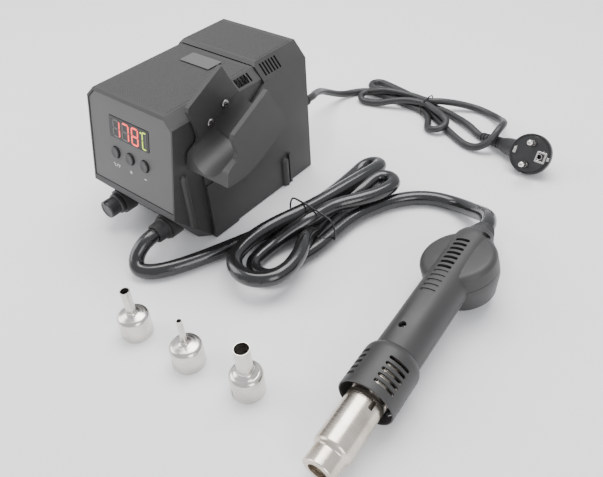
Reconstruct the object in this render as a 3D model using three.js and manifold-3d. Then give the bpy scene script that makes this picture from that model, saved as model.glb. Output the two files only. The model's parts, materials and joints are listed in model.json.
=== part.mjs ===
// Hot air station: a bench unit with a handset cradle, a handset on its hose, a mains lead and
// three loose nozzles. Millimetres, +Z up, front of the bench unit towards -Y.
import * as THREE from 'three';
import Module from 'manifold-3d';
import { ConvexGeometry } from 'three/addons/geometries/ConvexGeometry.js';
import { mergeVertices } from 'three/addons/utils/BufferGeometryUtils.js';

const wasm = await Module();
wasm.setup();

// ---------------------------------------------------------------- driving dimensions
const gap = 0.3;                 // clearance between pieces that touch
const loose = 0.5;               // clearance round pieces that slide or turn

// casing
const wall = 2.4;
const frontHalf = 48.5;          // half the width of the front shell
const roofZ = 116;
const roofHalf = 39.7;           // half the width of the flat of the front roof
const roofDrop = 8;              // height of the bevel along the roof edges
const chinY = -79;               // foremost edge, under the control panel
const chinZ = 38;
const lean = THREE.MathUtils.degToRad(12.2);   // how far the control panel leans back
const skirtY = -54;              // front of the casing at the bench
const skirtZ = 0.8;              // underside of the casing walls
const jointY = 28;               // where the rear cover begins
const sideStep = 2.5;             // how far the rear cover stands out at each side
const roofStep = 2.8;             // and above the front roof
const rearHalf = frontHalf + sideStep;
const rearRoofZ = roofZ + roofStep;
const rearRoofHalf = 40;
const rearDrop = 12.7;
const backY = 79;
const wingY = -46;               // front edge of the rear cover's side wings
const wingZ = 60;                // where the wing's front edge turns up and back
const cornerCut = 9;             // bevel on the two lower front corners

// control panel, measured up the panel from the chin edge
const panelSide = 1.6;           // width of the frame at each side of the panel
const panelFoot = 4.8;           // height of the frame under it
const panelHead = 3;
const panelThick = 2;
const panelLength = (roofZ - chinZ) / Math.cos(lean);
const windowX = -0.4;
const windowUp = 0.683 * panelLength;
const windowSize = [45.5, 16.7];
const buttonPitch = 17;
const buttonX = -0.6;
const buttonUp = 0.421 * panelLength;
const buttonR = 4.5;
const buttonProud = 1.3;
const buttonTravel = 1.0;
const boardDepth = 12;           // from the panel's face to the control board
const boardThick = 1.6;
const switchSide = 6;
const switchThick = 3.4;
const switchFace = boardDepth - switchThick - gap;
const stemR = 1.6;
const stemEnd = switchFace - buttonTravel - gap;

// knob and hose socket on the chin
const socketX = 28;
const socketZ = 20;
const bossR = 10.5;
const bossY = -75;
const knobR = 7.6;
const knobLength = 13;
const potShaftR = 3;
const potR = 8;
const hoseD = 12;
const glandR = 8;
const glandLength = 11;

// base and feet
const baseZ = 3;
const baseThick = 2.4;
const footR = 6;
const footX = frontHalf - 12.5;
const footFrontY = -38;
const footRearY = 62;
const screwHeadR = 3.2;

// rear wall
const leadD = 6.8;
const leadX = 30;
const leadZ = 50;
const reliefR = 6;
const reliefLength = 24;
const rockerX = -26;
const rockerZ = 52;
const rockerSize = [13, 19];
const rockerFrame = 2.6;
const rockerSwing = 9;           // degrees each way from level
const rockerPivot = -3;          // its pivot, measured out from its face
const rockerFit = 0.97;          // share of the well's height that it fills

// vents
const slotPitch = 3.4;
const slotWidth = 1.7;

// handset cradle, u runs forward and down along the trough, v square to it, up and back
const cradleX = rearHalf + gap;
const cradleWidth = 41.5;
const cradleTilt = THREE.MathUtils.degToRad(25.4);
const cradleTop = [-11.6, roofZ + 13.2];       // y, z of the outer plate's top far corner
const cradleWall = 3.8;
const cradleDepth = 38;
const cradleRise = 10.5;         // height of the inner side plate over the outer one
const troughRise = THREE.MathUtils.degToRad(15);

// handset, y runs back along its axis
const handTurn = THREE.MathUtils.degToRad(3.55);
const handRoll = THREE.MathUtils.degToRad(-15);   // it lies over to its left
const handX = 237.1;
const barrelR = 12.1;
const barrelRoom = 1.2;          // air between the barrel and the inside of the grip
const gripWall = 2.2;
const gripR = barrelR + barrelRoom + gripWall;
const gripFrontY = -76.7;
const headY = 12;
const headR = 26.5;
const headTop = 11;
const headBottom = -23;
const headEdge = 5;
const headFootR = headR - 1.6 * headEdge;      // radius of the flat under the blower
const spineEndY = 42;
const tailReach = 5;             // length of the neck behind the grip
const cuffReach = 7;             // length of the cuff behind that neck
const cuffEndY = spineEndY + tailReach + cuffReach;
const partingZ = -2;
const guardStep = 3.1;           // how far the guard stands out round the grip
const guardR = gripR + guardStep;
const guardWall = 1.5;
const guardMouthY = -113.3;
const guardSlots = 5;
const guardSlotPitch = 4.45;
const guardSlotLength = 14;
const barrelWall = 0.8;
const barrelBackY = -69;
const barrelStepY = -149.2;
const tipR = 10.2;
const tipY = -162.4;
const mouthR = 5.8;
const heaterR = 7;
const impellerR = headR - 7.5;
const impellerBlades = 11;
const motorR = 10.5;
const shellScrewR = 2.3;
const shellScrewLength = 5;
const shellBossR = 4.6;
const ventFrontY = -7.2;
const ventPitch = 4.7;
const ventHeight = 2.5;
const ventHalf = 5.1;
const ventCount = 7;

// loose nozzles
const nozzleWall = 0.6;
const nozzleBaseHeight = 19;
const nozzleShoulder = 4;
const nozzleHeight = 40.3;
const nozzles = [
  { name: 'nozzle_medium', tubeR: 3.4, x: 77.4, y: -149.1 },
  { name: 'nozzle_small', tubeR: 2.1, x: 126.2, y: -145.4 },
  { name: 'nozzle_large', tubeR: 5.3, x: 172.8, y: -138 },
];

// mains plug
const plugFace = new THREE.Vector3(214.4, 178.3, 19.2);
const plugNormal = new THREE.Vector3(0.05, -0.85, 0.52).normalize();
const plugNeck = new THREE.Vector3(-0.937, 0.3, -0.18).normalize();
const plugR = 17.7;
const plugThick = 16;
const pinR = 2.4;
const pinLength = 19;
const pinSpacing = 19;
const neckBack = 8.6;            // the neck's axis, behind the face
const neckReach = 33;
const reliefR0 = 5.6;            // the plug's own strain relief, at the neck and at its tip
const reliefBackR = 4.2;
const reliefReach = 25;
const earthOffset = 8;

// ---------------------------------------------------------------- solids
function toSolid(geometry) {
  const plain = geometry.clone();
  plain.deleteAttribute('normal');
  plain.deleteAttribute('uv');
  const merged = mergeVertices(plain, 1e-4);
  const vertProperties = new Float32Array(merged.attributes.position.array);
  const triVerts = new Uint32Array(merged.index.array);
  return new wasm.Manifold(new wasm.Mesh({ numProp: 3, vertProperties, triVerts }));
}

function toGeometry(solid) {
  const mesh = solid.getMesh();
  const geometry = new THREE.BufferGeometry();
  geometry.setAttribute('position', new THREE.BufferAttribute(mesh.vertProperties, 3));
  geometry.setIndex(new THREE.BufferAttribute(mesh.triVerts, 1));
  geometry.computeVertexNormals();
  return geometry;
}

function cut(base, ...tools) {
  let result = base;
  for (const tool of tools) result = result.subtract(tool);
  return result;
}

function join(...parts) {
  let result = parts[0];
  for (const part of parts.slice(1)) result = result.add(part);
  return result;
}

// a box between two corners
function block(x0, x1, y0, y1, z0, z1) {
  const box = new THREE.BoxGeometry(x1 - x0, y1 - y0, z1 - z0);
  return toSolid(box.translate((x0 + x1) / 2, (y0 + y1) / 2, (z0 + z1) / 2));
}

// a box by its middle
function brick(x, y, z, sx, sy, sz) {
  return block(x - sx / 2, x + sx / 2, y - sy / 2, y + sy / 2, z - sz / 2, z + sz / 2);
}

// a round bar between two points
function bar(from, to, radius, sides = 24, endRadius = radius) {
  const start = new THREE.Vector3(...from);
  const along = new THREE.Vector3(...to).sub(start);
  const rod = new THREE.CylinderGeometry(endRadius, radius, along.length(), sides);
  rod.translate(0, along.length() / 2, 0);
  const turn = new THREE.Quaternion().setFromUnitVectors(new THREE.Vector3(0, 1, 0),
    along.clone().normalize());
  return toSolid(rod.applyQuaternion(turn).translate(start.x, start.y, start.z));
}

// an outline pulled along one axis; the outline's two coordinates are the other two axes
function pull(points, axis, from, to) {
  const shape = new THREE.Shape(points.map(([a, b]) => new THREE.Vector2(a, b)));
  const solid = new THREE.ExtrudeGeometry(shape, { depth: to - from, bevelEnabled: false });
  solid.translate(0, 0, from);
  const basis = {
    x: new THREE.Matrix4().set(0, 0, 1, 0, 1, 0, 0, 0, 0, 1, 0, 0, 0, 0, 0, 1),
    y: new THREE.Matrix4().set(1, 0, 0, 0, 0, 0, -1, 0, 0, 1, 0, 0, 0, 0, 0, 1),
    z: new THREE.Matrix4(),
  }[axis];
  if (axis === 'y') solid.translate(0, 0, -from - to);
  return toSolid(solid.applyMatrix4(basis));
}

// a profile of [radius, height] pairs turned about Z
function turned(profile, sides = 32) {
  return toSolid(latheGeometry(profile, sides));
}

// a profile that starts off the axis is closed on itself; its points run anticlockwise
function latheGeometry(profile, sides = 32) {
  const loop = signedArea(profile) < 0 ? [...profile].reverse() : [...profile];
  if (loop[0][0] > 0) loop.push(loop[0]);
  const points = loop.map(([r, h]) => new THREE.Vector2(r, h));
  return new THREE.LatheGeometry(points, sides).rotateX(Math.PI / 2);
}

// the same profile turned about the Y axis, its heights running along +Y
function turnedAlongY(profile, sides = 32) {
  return toSolid(latheGeometry(profile, sides).rotateX(-Math.PI / 2));
}

function signedArea(points) {
  return points.reduce((sum, [x, y], i) => {
    const [nx, ny] = points[(i + 1) % points.length];
    return sum + (x * ny - nx * y) / 2;
  }, 0);
}

// an outline with each edge moved inwards by its own distance; corners are where edges meet
function inset(points, distances) {
  const count = points.length;
  const side = Math.sign(signedArea(points));
  const lines = points.map(([x, y], i) => {
    const [nx, ny] = points[(i + 1) % count];
    const length = Math.hypot(nx - x, ny - y);
    const dx = (nx - x) / length;
    const dy = (ny - y) / length;
    return { x: x - dy * distances[i] * side, y: y + dx * distances[i] * side, dx, dy };
  });
  return lines.map((line, i) => {
    const before = lines[(i + count - 1) % count];
    const cross = before.dx * line.dy - before.dy * line.dx;
    const t = ((line.x - before.x) * line.dy - (line.y - before.y) * line.dx) / cross;
    return [before.x + before.dx * t, before.y + before.dy * t];
  });
}

function roundedOutline(width, height, radius, steps = 3) {
  const points = [];
  for (const [sx, sy, start] of [[1, 1, 0], [-1, 1, 90], [-1, -1, 180], [1, -1, 270]]) {
    for (let i = 0; i <= steps; i += 1) {
      const angle = THREE.MathUtils.degToRad(start + (90 * i) / steps);
      points.push([sx * (width / 2 - radius) + radius * Math.cos(angle),
        sy * (height / 2 - radius) + radius * Math.sin(angle)]);
    }
  }
  return points;
}

// ---------------------------------------------------------------- materials and nodes
function finish(color, roughness, metalness = 0) {
  return new THREE.MeshStandardMaterial({ color, roughness, metalness });
}

const looks = {
  casing: () => finish(0x2b2a2c, 0.5),
  panel: () => finish(0x3a3839, 0.6),
  window: () => finish(0x0c0c0e, 0.15),
  board: () => finish(0x1f5a3a, 0.5),
  component: () => finish(0x1a1a1c, 0.4),
  copper: () => finish(0x9a5a2c, 0.35, 0.8),
  laminate: () => finish(0x6a6c70, 0.45, 0.8),
  alloy: () => finish(0xb4b6ba, 0.4, 0.9),
  steel: () => finish(0xc4bfb8, 0.28, 1),
  rubber: () => finish(0x161617, 0.8),
  hose: () => finish(0x171718, 0.25),
  lead: () => finish(0x1b1b1d, 0.6),
  ceramic: () => finish(0xd8cdb8, 0.7),
  brass: () => finish(0xd0cbbd, 0.25, 1),
  wire: () => finish(0x121213, 0.4),
};

const everything = new THREE.Group();
const cordPieces = [];

function add(parent, name, look, solid) {
  const geometry = solid.isBufferGeometry ? solid : toGeometry(solid);
  const mesh = new THREE.Mesh(geometry, looks[look]());
  mesh.name = name;
  parent.add(mesh);
  return mesh;
}

function addCord(name, look, solid) {
  cordPieces.push(add(everything, name, look, solid));
}

// ---------------------------------------------------------------- casing
const lipY = chinY + (roofZ - chinZ) * Math.tan(lean);
const sideProfile = [[jointY, skirtZ], [jointY, roofZ], [lipY, roofZ], [chinY, chinZ],
  [skirtY, skirtZ]];

function facade(half, flat, top, drop) {
  return [[-half, skirtZ], [half, skirtZ], [half, top - drop], [flat, top], [-flat, top],
    [-half, top - drop]];
}

// what lies beyond the slanted facet on each lower front corner, moved inwards by a distance
function cornerTools(inward) {
  return [-1, 1].map((side) => {
    const corners = [[frontHalf, chinY, chinZ], [frontHalf - cornerCut, skirtY, skirtZ],
      [frontHalf, skirtY + cornerCut, skirtZ]].map(([x, y, z]) => new THREE.Vector3(side * x, y, z));
    const middle = corners[0].clone().add(corners[1]).add(corners[2]).divideScalar(3);
    const outward = corners[1].clone().sub(corners[0]).cross(corners[2].clone().sub(corners[0]))
      .multiplyScalar(side).normalize();
    const face = corners.map((corner) => corner.sub(middle).multiplyScalar(4).add(middle)
      .addScaledVector(outward, -inward));
    const far = face.map((corner) => corner.clone().addScaledVector(outward, 60));
    return toSolid(new ConvexGeometry([...face, ...far]));
  });
}

// the panel's outline in x and distance up the panel
function panelOutline(margin) {
  const scale = 1 / Math.cos(lean);
  const outline = [[-frontHalf, 0], [frontHalf, 0], [frontHalf, panelLength - roofDrop * scale],
    [roofHalf, panelLength], [-roofHalf, panelLength], [-frontHalf, panelLength - roofDrop * scale]];
  const edges = [panelFoot, panelSide, panelHead * 0.7, panelHead, panelHead * 0.7, panelSide];
  return inset(outline, edges.map((edge) => edge + margin));
}

// puts a solid made in the panel's own axes (y inwards, z up the panel) into the casing
const panelPlace = new THREE.Matrix4().makeRotationX(-lean).setPosition(0, chinY, chinZ);

function onPanel(solid) {
  return solid.transform(panelPlace.elements);
}

const chinAngle = Math.atan2(chinZ - skirtZ, skirtY - chinY);

function chinDepth(z) {
  return chinY + ((chinZ - z) * (skirtY - chinY)) / (chinZ - skirtZ);
}

function frontShell() {
  const outer = pull(sideProfile, 'x', -frontHalf, frontHalf)
    .intersect(pull(facade(frontHalf, roofHalf, roofZ, roofDrop), 'y', chinY - 1, jointY));
  const open = -20;
  const hollow = cut(pull(inset(sideProfile, [open, wall, wall, wall, open]), 'x',
    -frontHalf + wall, frontHalf - wall).intersect(pull(inset(facade(frontHalf, roofHalf, roofZ,
    roofDrop), [open, wall, wall, wall, wall, wall]), 'y', chinY - 1, jointY + 30)),
  ...cornerTools(wall));
  const panelHole = onPanel(pull(panelOutline(0), 'y', -5, 8));
  const ledge = onPanel(cut(pull(panelOutline(-0.5), 'y', panelThick + gap, panelThick + gap + 1.6),
    pull(panelOutline(2), 'y', 0, 10)));
  const bosses = [-1, 1].map((side) => bar([side * socketX, bossY, socketZ],
    [side * socketX, chinDepth(socketZ) + wall, socketZ], bossR, 20));
  const bores = [-1, 1].map((side) => bar([side * socketX, chinY - 9, socketZ],
    [side * socketX, skirtY + 8, socketZ], side < 0 ? potShaftR + loose : glandR - 2 + gap, 16));
  const shell = cut(outer, ...cornerTools(0));
  const hollowed = cut(shell, hollow, panelHole);
  return cut(join(hollowed, ledge.intersect(outer), ...bosses), ...bores, ...frontVents(),
    ...cradleScrewPoints().map((point) => screwHole(point)));
}

// slots in the right roof bevel just ahead of the rear cover
function frontVents() {
  return bevelSlots(5, jointY - 22, roofZ, roofHalf, frontHalf, roofDrop);
}

function bevelSlots(count, startY, top, flat, half, drop) {
  const angle = Math.atan2(drop, half - flat);
  const slots = [];
  for (let i = 0; i < count; i += 1) {
    for (const side of [-1, 1]) {
      const slot = new THREE.BoxGeometry(0.62 * Math.hypot(drop, half - flat), slotWidth, wall * 6);
      slot.rotateY(side * angle);
      slot.translate(side * ((half + flat) / 2), startY + i * slotPitch, top - drop / 2);
      slots.push(toSolid(slot));
    }
  }
  return slots;
}

function rearCover() {
  const face = facade(rearHalf, rearRoofHalf, rearRoofZ, rearDrop);
  const startY = jointY + gap;
  const bevel = rearRoofZ - roofZ;
  const side = [[backY, skirtZ], [backY, rearRoofZ], [startY + bevel, rearRoofZ], [startY, roofZ],
    [startY, skirtZ]];
  const outer = pull(side, 'x', -rearHalf, rearHalf)
    .intersect(pull(face, 'y', startY - 1, backY + 1));
  const open = -20;
  const hollow = pull(inset(face, [open, wall, wall, wall, wall, wall]), 'y', startY - 20,
    backY - wall).intersect(block(-100, 100, startY - 5, backY - wall, -10, rearRoofZ - wall));
  const wingSide = [[startY + 1, skirtZ], [startY + 1, rearRoofZ - rearDrop - 1],
    [startY - 10, rearRoofZ - rearDrop - 8], [wingY, wingZ], [wingY, skirtZ]];
  const wings = [-1, 1].map((s) => pull(wingSide, 'x', Math.min(s * (frontHalf + gap), s * rearHalf),
    Math.max(s * (frontHalf + gap), s * rearHalf)));
  const pads = [-1, 1].map((s) => pull([[wingY, skirtZ], [wingY, wingZ - 8], [-19, wingZ - 8],
    [-19, skirtZ]], 'x', Math.min(s * frontHalf + s * gap, s * (rearHalf + 1.5)),
  Math.max(s * (frontHalf + gap), s * (rearHalf + 1.5))));
  const posts = [-1, 1].map((s) => join(bar([s * rearHalf, 43, skirtZ], [s * rearHalf, 43, 26], 3.6, 16),
    bar([s * rearHalf, 43, 26], [s * rearHalf, 43, 28.5], 3.6, 16, 1.6),
    block(Math.min(s * (rearHalf - 1), s * (rearHalf + 2.4)), Math.max(s * (rearHalf - 1),
      s * (rearHalf + 2.4)), 47.5, 50, skirtZ, 30)));
  const postRoom = block(-rearHalf + wall, rearHalf - wall, 30, backY - wall, -5, 60);
  const leadHole = bar([leadX, backY - 10, leadZ], [leadX, backY + 10, leadZ], reliefR - 1.5 + gap);
  const rockerHole = brick(rockerX, backY, rockerZ, rockerSize[0] + 2 * rockerFrame - 1.5 + 2 * gap,
    20, rockerSize[1] + 2 * rockerFrame - 1.5 + 2 * gap);
  const body = join(cut(outer, hollow), ...wings, ...pads, ...posts);
  return cut(body, postRoom, leadHole, rockerHole, ...rearVents(), ...backVents(),
    ...cradleScrewPoints().map((point) => screwHole(point)));
}

function rearVents() {
  return bevelSlots(6, jointY + 6, rearRoofZ, rearRoofHalf, rearHalf, rearDrop);
}

// a block of upright slots high on the back wall
function backVents() {
  const slots = [];
  for (let i = 0; i < 9; i += 1) {
    slots.push(brick((i - 4) * slotPitch * 1.5, backY, 90, slotWidth * 1.3, 12, 18));
  }
  return slots;
}

function basePlate() {
  const half = frontHalf - wall - gap;
  const frontY = chinDepth(baseZ) + (wall + gap) / Math.sin(chinAngle);
  const plate = cut(block(-half, half, frontY, backY - wall - gap, baseZ, baseZ + baseThick),
    ...cornerTools(wall + gap));
  const holes = footPoints().map(([x, y]) => bar([x, y, -5], [x, y, 20], screwHeadR - 1, 12));
  const vents = [];
  for (let i = 0; i < 6; i += 1) vents.push(brick(0, 4 + i * 6, baseZ, 40, slotWidth * 1.4, 20));
  return cut(plate, ...holes, ...vents);
}

function footPoints() {
  return [[-footX, footFrontY], [footX, footFrontY], [-footX, footRearY], [footX, footRearY]];
}

function buildCasing(parent) {
  add(parent, 'front_shell', 'casing', frontShell());
  add(parent, 'rear_cover', 'casing', rearCover());
  add(parent, 'base_plate', 'casing', basePlate());
  footPoints().forEach(([x, y], i) => {
    const foot = turned([[0, 0], [footR - 0.6, 0], [footR, 0.6], [footR, baseZ - gap],
      [0, baseZ - gap]], 14);
    add(parent, `rubber_foot_${i + 1}`, 'rubber', foot.translate([x, y, 0]));
    const screw = join(bar([x, y, baseZ + baseThick + gap], [x, y, baseZ + baseThick + 2.2],
      screwHeadR, 12), bar([x, y, baseZ - gap / 2], [x, y, baseZ + baseThick + 1],
      screwHeadR - 1 - gap, 12));
    if (i < 2) add(parent, `foot_screw_${i + 1}`, 'alloy', screw);
  });
  const plate = pull(roundedOutline(32, 15, 1), 'z', roofZ + gap, roofZ + 1.1);
  add(parent, 'roof_plate', 'panel', plate.translate([0, jointY - 16, 0]));
}

// ---------------------------------------------------------------- control panel
function buildPanel(parent) {
  const clear = panelOutline(gap);
  const windowHole = pull(roundedOutline(windowSize[0] + 2 * gap, windowSize[1] + 2 * gap, 1.5)
    .map(([x, z]) => [x + windowX, z + windowUp]), 'y', -5, 8);
  const keyHoles = keyPlaces().map((x) => bar([x, -5, buttonUp], [x, 8, buttonUp],
    buttonR + loose, 16));
  const panel = cut(pull(clear, 'y', 0.5, panelThick), windowHole, ...keyHoles);
  add(parent, 'front_panel', 'panel', onPanel(panel));
  const lens = pull(roundedOutline(...windowSize, 1.5).map(([x, z]) => [x + windowX, z + windowUp]),
    'y', 0.3, panelThick);
  add(parent, 'display_window', 'window', onPanel(lens));
  const module = brick(windowX, 6.4, windowUp, windowSize[0] - 4, 7, windowSize[1] + 3);
  add(parent, 'display_module', 'component', onPanel(module));
  const half = frontHalf - wall - 4;
  const board = block(-half, half, boardDepth, boardDepth + boardThick, 14, panelLength - 10);
  add(parent, 'control_board', 'board', onPanel(board));
  keyPlaces().forEach((x, i) => {
    const flange = bar([x, panelThick + loose, buttonUp], [x, panelThick + 2, buttonUp],
      buttonR + 1.2, 16);
    const key = bar([x, -buttonProud, buttonUp], [x, panelThick + 1, buttonUp], buttonR, 16);
    const stem = bar([x, panelThick, buttonUp], [x, stemEnd, buttonUp], stemR, 8);
    add(parent, ['button_unit', 'button_up', 'button_down'][i], 'casing',
      onPanel(join(flange, key, stem)));
    const body = brick(x, switchFace + switchThick / 2, buttonUp, switchSide, switchThick, switchSide);
    add(parent, `key_switch_${i + 1}`, 'component', onPanel(body));
  });
}

function keyPlaces() {
  return [-1, 0, 1].map((i) => buttonX + i * buttonPitch);
}

// ---------------------------------------------------------------- knob and hose socket
function buildControls(parent) {
  const knobFrontY = bossY - 1 - knobLength;
  const knob = cut(turnedAlongY([[0, knobFrontY], [knobR - 1.4, knobFrontY], [knobR - 0.6, knobFrontY + 0.8],
    [knobR, bossY - 4], [knobR + 1.2, bossY - 3], [knobR + 1.2, bossY - 1], [0, bossY - 1]], 20),
  bar([0, bossY - 9, 0], [0, bossY + 5, 0], potShaftR + gap, 16),
  brick(0, knobFrontY, knobR, 1.2, 5, 7));
  add(parent, 'airflow_knob', 'casing', knob.translate([-socketX, 0, socketZ]));
  const inside = chinDepth(socketZ - potR) + wall / Math.sin(chinAngle) + gap;
  const shaft = bar([-socketX, bossY - 8, socketZ], [-socketX, inside + 1, socketZ], potShaftR, 16);
  const pot = join(shaft, bar([-socketX, inside, socketZ], [-socketX, inside + 9, socketZ], potR, 20));
  add(parent, 'airflow_potentiometer', 'alloy', pot);
  const gland = turnedAlongY([
    [hoseD / 2 + gap, bossY - glandLength], [glandR - 1, bossY - glandLength],
    [glandR, bossY - glandLength + 2], [glandR, bossY - 3], [glandR + 1.5, bossY - 2.4],
    [glandR + 1.5, bossY - gap], [glandR - 2, bossY - gap], [glandR - 2, bossY + 8],
    [glandR - 3.4, bossY + 8], [glandR - 3.4, bossY - 4], [hoseD / 2 + gap, bossY - 4]], 20);
  add(parent, 'hose_gland', 'rubber', gland.translate([socketX, 0, socketZ]));
}

// ---------------------------------------------------------------- cradle
// turns [along the trough, square to it] into [y, z]
function cradlePoint([u, v]) {
  const c = Math.cos(cradleTilt);
  const s = Math.sin(cradleTilt);
  return [cradleTop[0] - u * c - v * s, cradleTop[1] - u * s + v * c];
}

function cradleScrewPoints() {
  // just above the middle of the trough, where its wall is flat
  const v = cradleWidth / 2 - cradleDepth + screwHeadR + 0.05;
  return [[14, v], [32, v]].map(cradlePoint);
}

function screwHole([y, z]) {
  return bar([frontHalf - wall - 5, y, z], [cradleX + cradleWall + 1, y, z], screwHeadR - 1, 12);
}

function cradle() {
  const outline = [[0, 0], [40, 0], [42.6, -2.6], [43.8, -8], [45.6, -14.4], [49, -17.4], [57, -17.4],
    [60, -18.6], [66.5, -26.8], [60.5, -30.4], [52, -34.2], [43, -36.8], [34, -cradleDepth],
    [10, -cradleDepth], [-2, -cradleDepth]];
  const tall = [[0, -12], [0, cradleRise], [39, cradleRise], [41.4, cradleRise - 2.4],
    [42.6, -2.6], [42, -12]];
  const body = join(pull(outline.map(cradlePoint), 'x', cradleX, cradleX + cradleWidth),
    pull(tall.map(cradlePoint).reverse(), 'x', cradleX, cradleX + cradleWall));
  const r = cradleWidth / 2 - cradleWall;
  const mid = cradleX + cradleWidth / 2;
  const floor = -cradleDepth + cradleWall + r;
  const at = (u, v) => {
    const [y, z] = cradlePoint([u, v]);
    return [mid, y, z];
  };
  const straight = bar(at(-20, floor), at(80, floor), r, 26);
  const bend = 31;
  const risen = bar(at(bend - 12, floor - 12 * Math.tan(troughRise)),
    at(bend + 60, floor + 60 * Math.tan(troughRise)), r, 26);
  // the trough's two straight runs meet square across it, at the bend
  const keep = (from, to) => pull([[from, -60], [to, -60], [to, 30], [from, 30]].map(cradlePoint),
    'x', cradleX - 1, cradleX + cradleWidth + 1);
  const throat = pull([[-20, floor], [90, floor], [90, 30], [-20, 30]].map(cradlePoint), 'x',
    mid - r, mid + r);
  const holes = cradleScrewPoints().map((point) => screwHole(point));
  return cut(body, straight.intersect(keep(-60, bend + 0.5)), risen.intersect(keep(bend - 0.5, 100)), throat,
    ...holes);
}

function buildCradle(parent) {
  add(parent, 'cradle', 'casing', cradle());
  cradleScrewPoints().forEach(([y, z], i) => {
    const x = cradleX + cradleWall + gap;
    const screw = join(bar([x, y, z], [x + 1.4, y, z], screwHeadR, 14),
      bar([frontHalf - wall - 3, y, z], [x + 0.5, y, z], screwHeadR - 1 - gap, 12));
    add(parent, `cradle_screw_${i + 1}`, 'alloy', screw);
  });
}

// ---------------------------------------------------------------- inside the casing
function buildInside(parent) {
  const floorZ = baseZ + baseThick;
  const boardZ = floorZ + 5;
  const half = footX - screwHeadR - 1;
  add(parent, 'power_board', 'board', block(-half, half, -28, 66, boardZ, boardZ + boardThick));
  const top = boardZ + boardThick + gap;
  // a shell-type core: two windows run through it along Y and the coil fills them
  const windows = [-24, -8].map((x) => block(x, x + 7, -20, 40, top + 6, top + 28));
  add(parent, 'transformer_core', 'laminate', cut(block(-29, 4, -2, 26, top, top + 34), ...windows));
  const coil = cut(block(-24 + gap, -1 - gap, -8, 32, top + 6 + gap, top + 28 - gap),
    block(-17 - gap, -8 + gap, -2 - gap, 26 + gap, top, top + 60));
  add(parent, 'transformer_coil', 'copper', coil);
  const fins = [];
  for (let i = 0; i < 5; i += 1) fins.push(block(11, 28, 4 + i * 6, 6 + i * 6, top, top + 24));
  add(parent, 'triac_heatsink', 'alloy', join(block(11, 14, 2, 32, top, top + 24), ...fins));
  const fuse = join(block(-2, 24, 48, 58, top, top + 4), bar([0, 53, top + 6], [22, 53, top + 6], 3, 14));
  add(parent, 'mains_fuse', 'component', fuse);
}

// ---------------------------------------------------------------- rear wall
function buildRear(parent) {
  const [w, h] = rockerSize;
  const flange = brick(rockerX, backY + gap + 0.8, rockerZ, w + 2 * rockerFrame + 1.5, 1.6,
    h + 2 * rockerFrame + 1.5);
  const barrel = brick(rockerX, backY - 7, rockerZ, w + 2 * rockerFrame - 1.5, 16,
    h + 2 * rockerFrame - 1.5);
  const well = brick(rockerX, backY, rockerZ, w + 2 * loose, 12, h + 2 * loose);
  add(parent, 'power_switch_housing', 'component', cut(join(flange, barrel), well));
  const r = h / 2;
  // the rocker lies over on its lower half, which is off
  const side = [[-r, 0.4], [0, -0.9], [r, 0.4], [r, -2.4], [r * 0.5, -4.2], [-r * 0.5, -4.2],
    [-r, -2.4]].map(([z, y]) => [y - rockerPivot, z * rockerFit]).reverse();
  const rocker = pull(side, 'x', -w / 2, w / 2).rotate([rockerSwing, 0, 0]);
  add(parent, 'power_rocker', 'component', rocker.translate([rockerX, backY + 1.6 + rockerPivot, rockerZ]));
  const relief = turnedAlongY([
    [leadD / 2 + gap, backY - 6], [reliefR - 1.5, backY - 6], [reliefR - 1.5, backY + gap],
    [reliefR + 1, backY + gap], [reliefR + 1, backY + 3], [reliefR - 0.6, backY + 4],
    [leadD / 2 + 1.2, backY + reliefLength], [leadD / 2 + gap, backY + reliefLength]], 16);
  add(parent, 'mains_strain_relief', 'rubber', relief.translate([leadX, 0, leadZ]));
}

// ---------------------------------------------------------------- handset
function handsetBody() {
  const grip = bar([0, gripFrontY - gap, 0], [0, spineEndY - 8, 0], gripR, 22);
  const dome = bar([0, spineEndY - 8, 0], [0, spineEndY, 0], gripR, 22, gripR - 5);
  const head = turned([[0, headBottom], [headFootR, headBottom],
    [headR - headEdge * 0.5, headBottom + headEdge], [headR, partingZ], [headR - 1, headTop - headEdge],
    [headR - headEdge, headTop], [0, headTop]], 26).translate([0, headY, 0]);
  const tail = bar([0, spineEndY - 14, 0], [0, spineEndY + tailReach, 0], gripR - 3, 20, hoseD / 2 + 3.6);
  return join(grip, dome, head, tail);
}

function handsetHollow() {
  const grip = bar([0, gripFrontY - 5, 0], [0, spineEndY - 10, 0], gripR - gripWall, 22);
  const head = turned([[0, headBottom + gripWall], [headFootR, headBottom + gripWall],
    [headR - gripWall, partingZ], [headR - headEdge - gripWall, headTop - gripWall],
    [0, headTop - gripWall]], 26).translate([0, headY, 0]);
  return join(grip, head);
}

function hoseWay() {
  return bar([0, spineEndY - 14, 0], [0, spineEndY + 20, 0], hoseD / 2 + 2 + gap, 20);
}

function handsetVents() {
  const vents = [];
  for (let i = 0; i < ventCount; i += 1) {
    const y = ventFrontY + i * ventPitch;
    vents.push(block(-ventHalf, ventHalf, y, y + ventHeight, gripR - 5, gripR + 5));
  }
  return vents;
}

function shellScrews() {
  return [{ x: 0, y: -62.2, z: gripR - 2.4 }, { x: 10, y: spineEndY - 5.5, z: 7 }];
}

// how far below the middle of the blower its rim reaches, once rolled over and raised
function rimDrop(rise) {
  return -headBottom * Math.cos(handRoll) * Math.cos(rise)
    + headFootR * Math.hypot(Math.sin(handRoll) * Math.cos(rise), Math.sin(rise));
}

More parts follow.
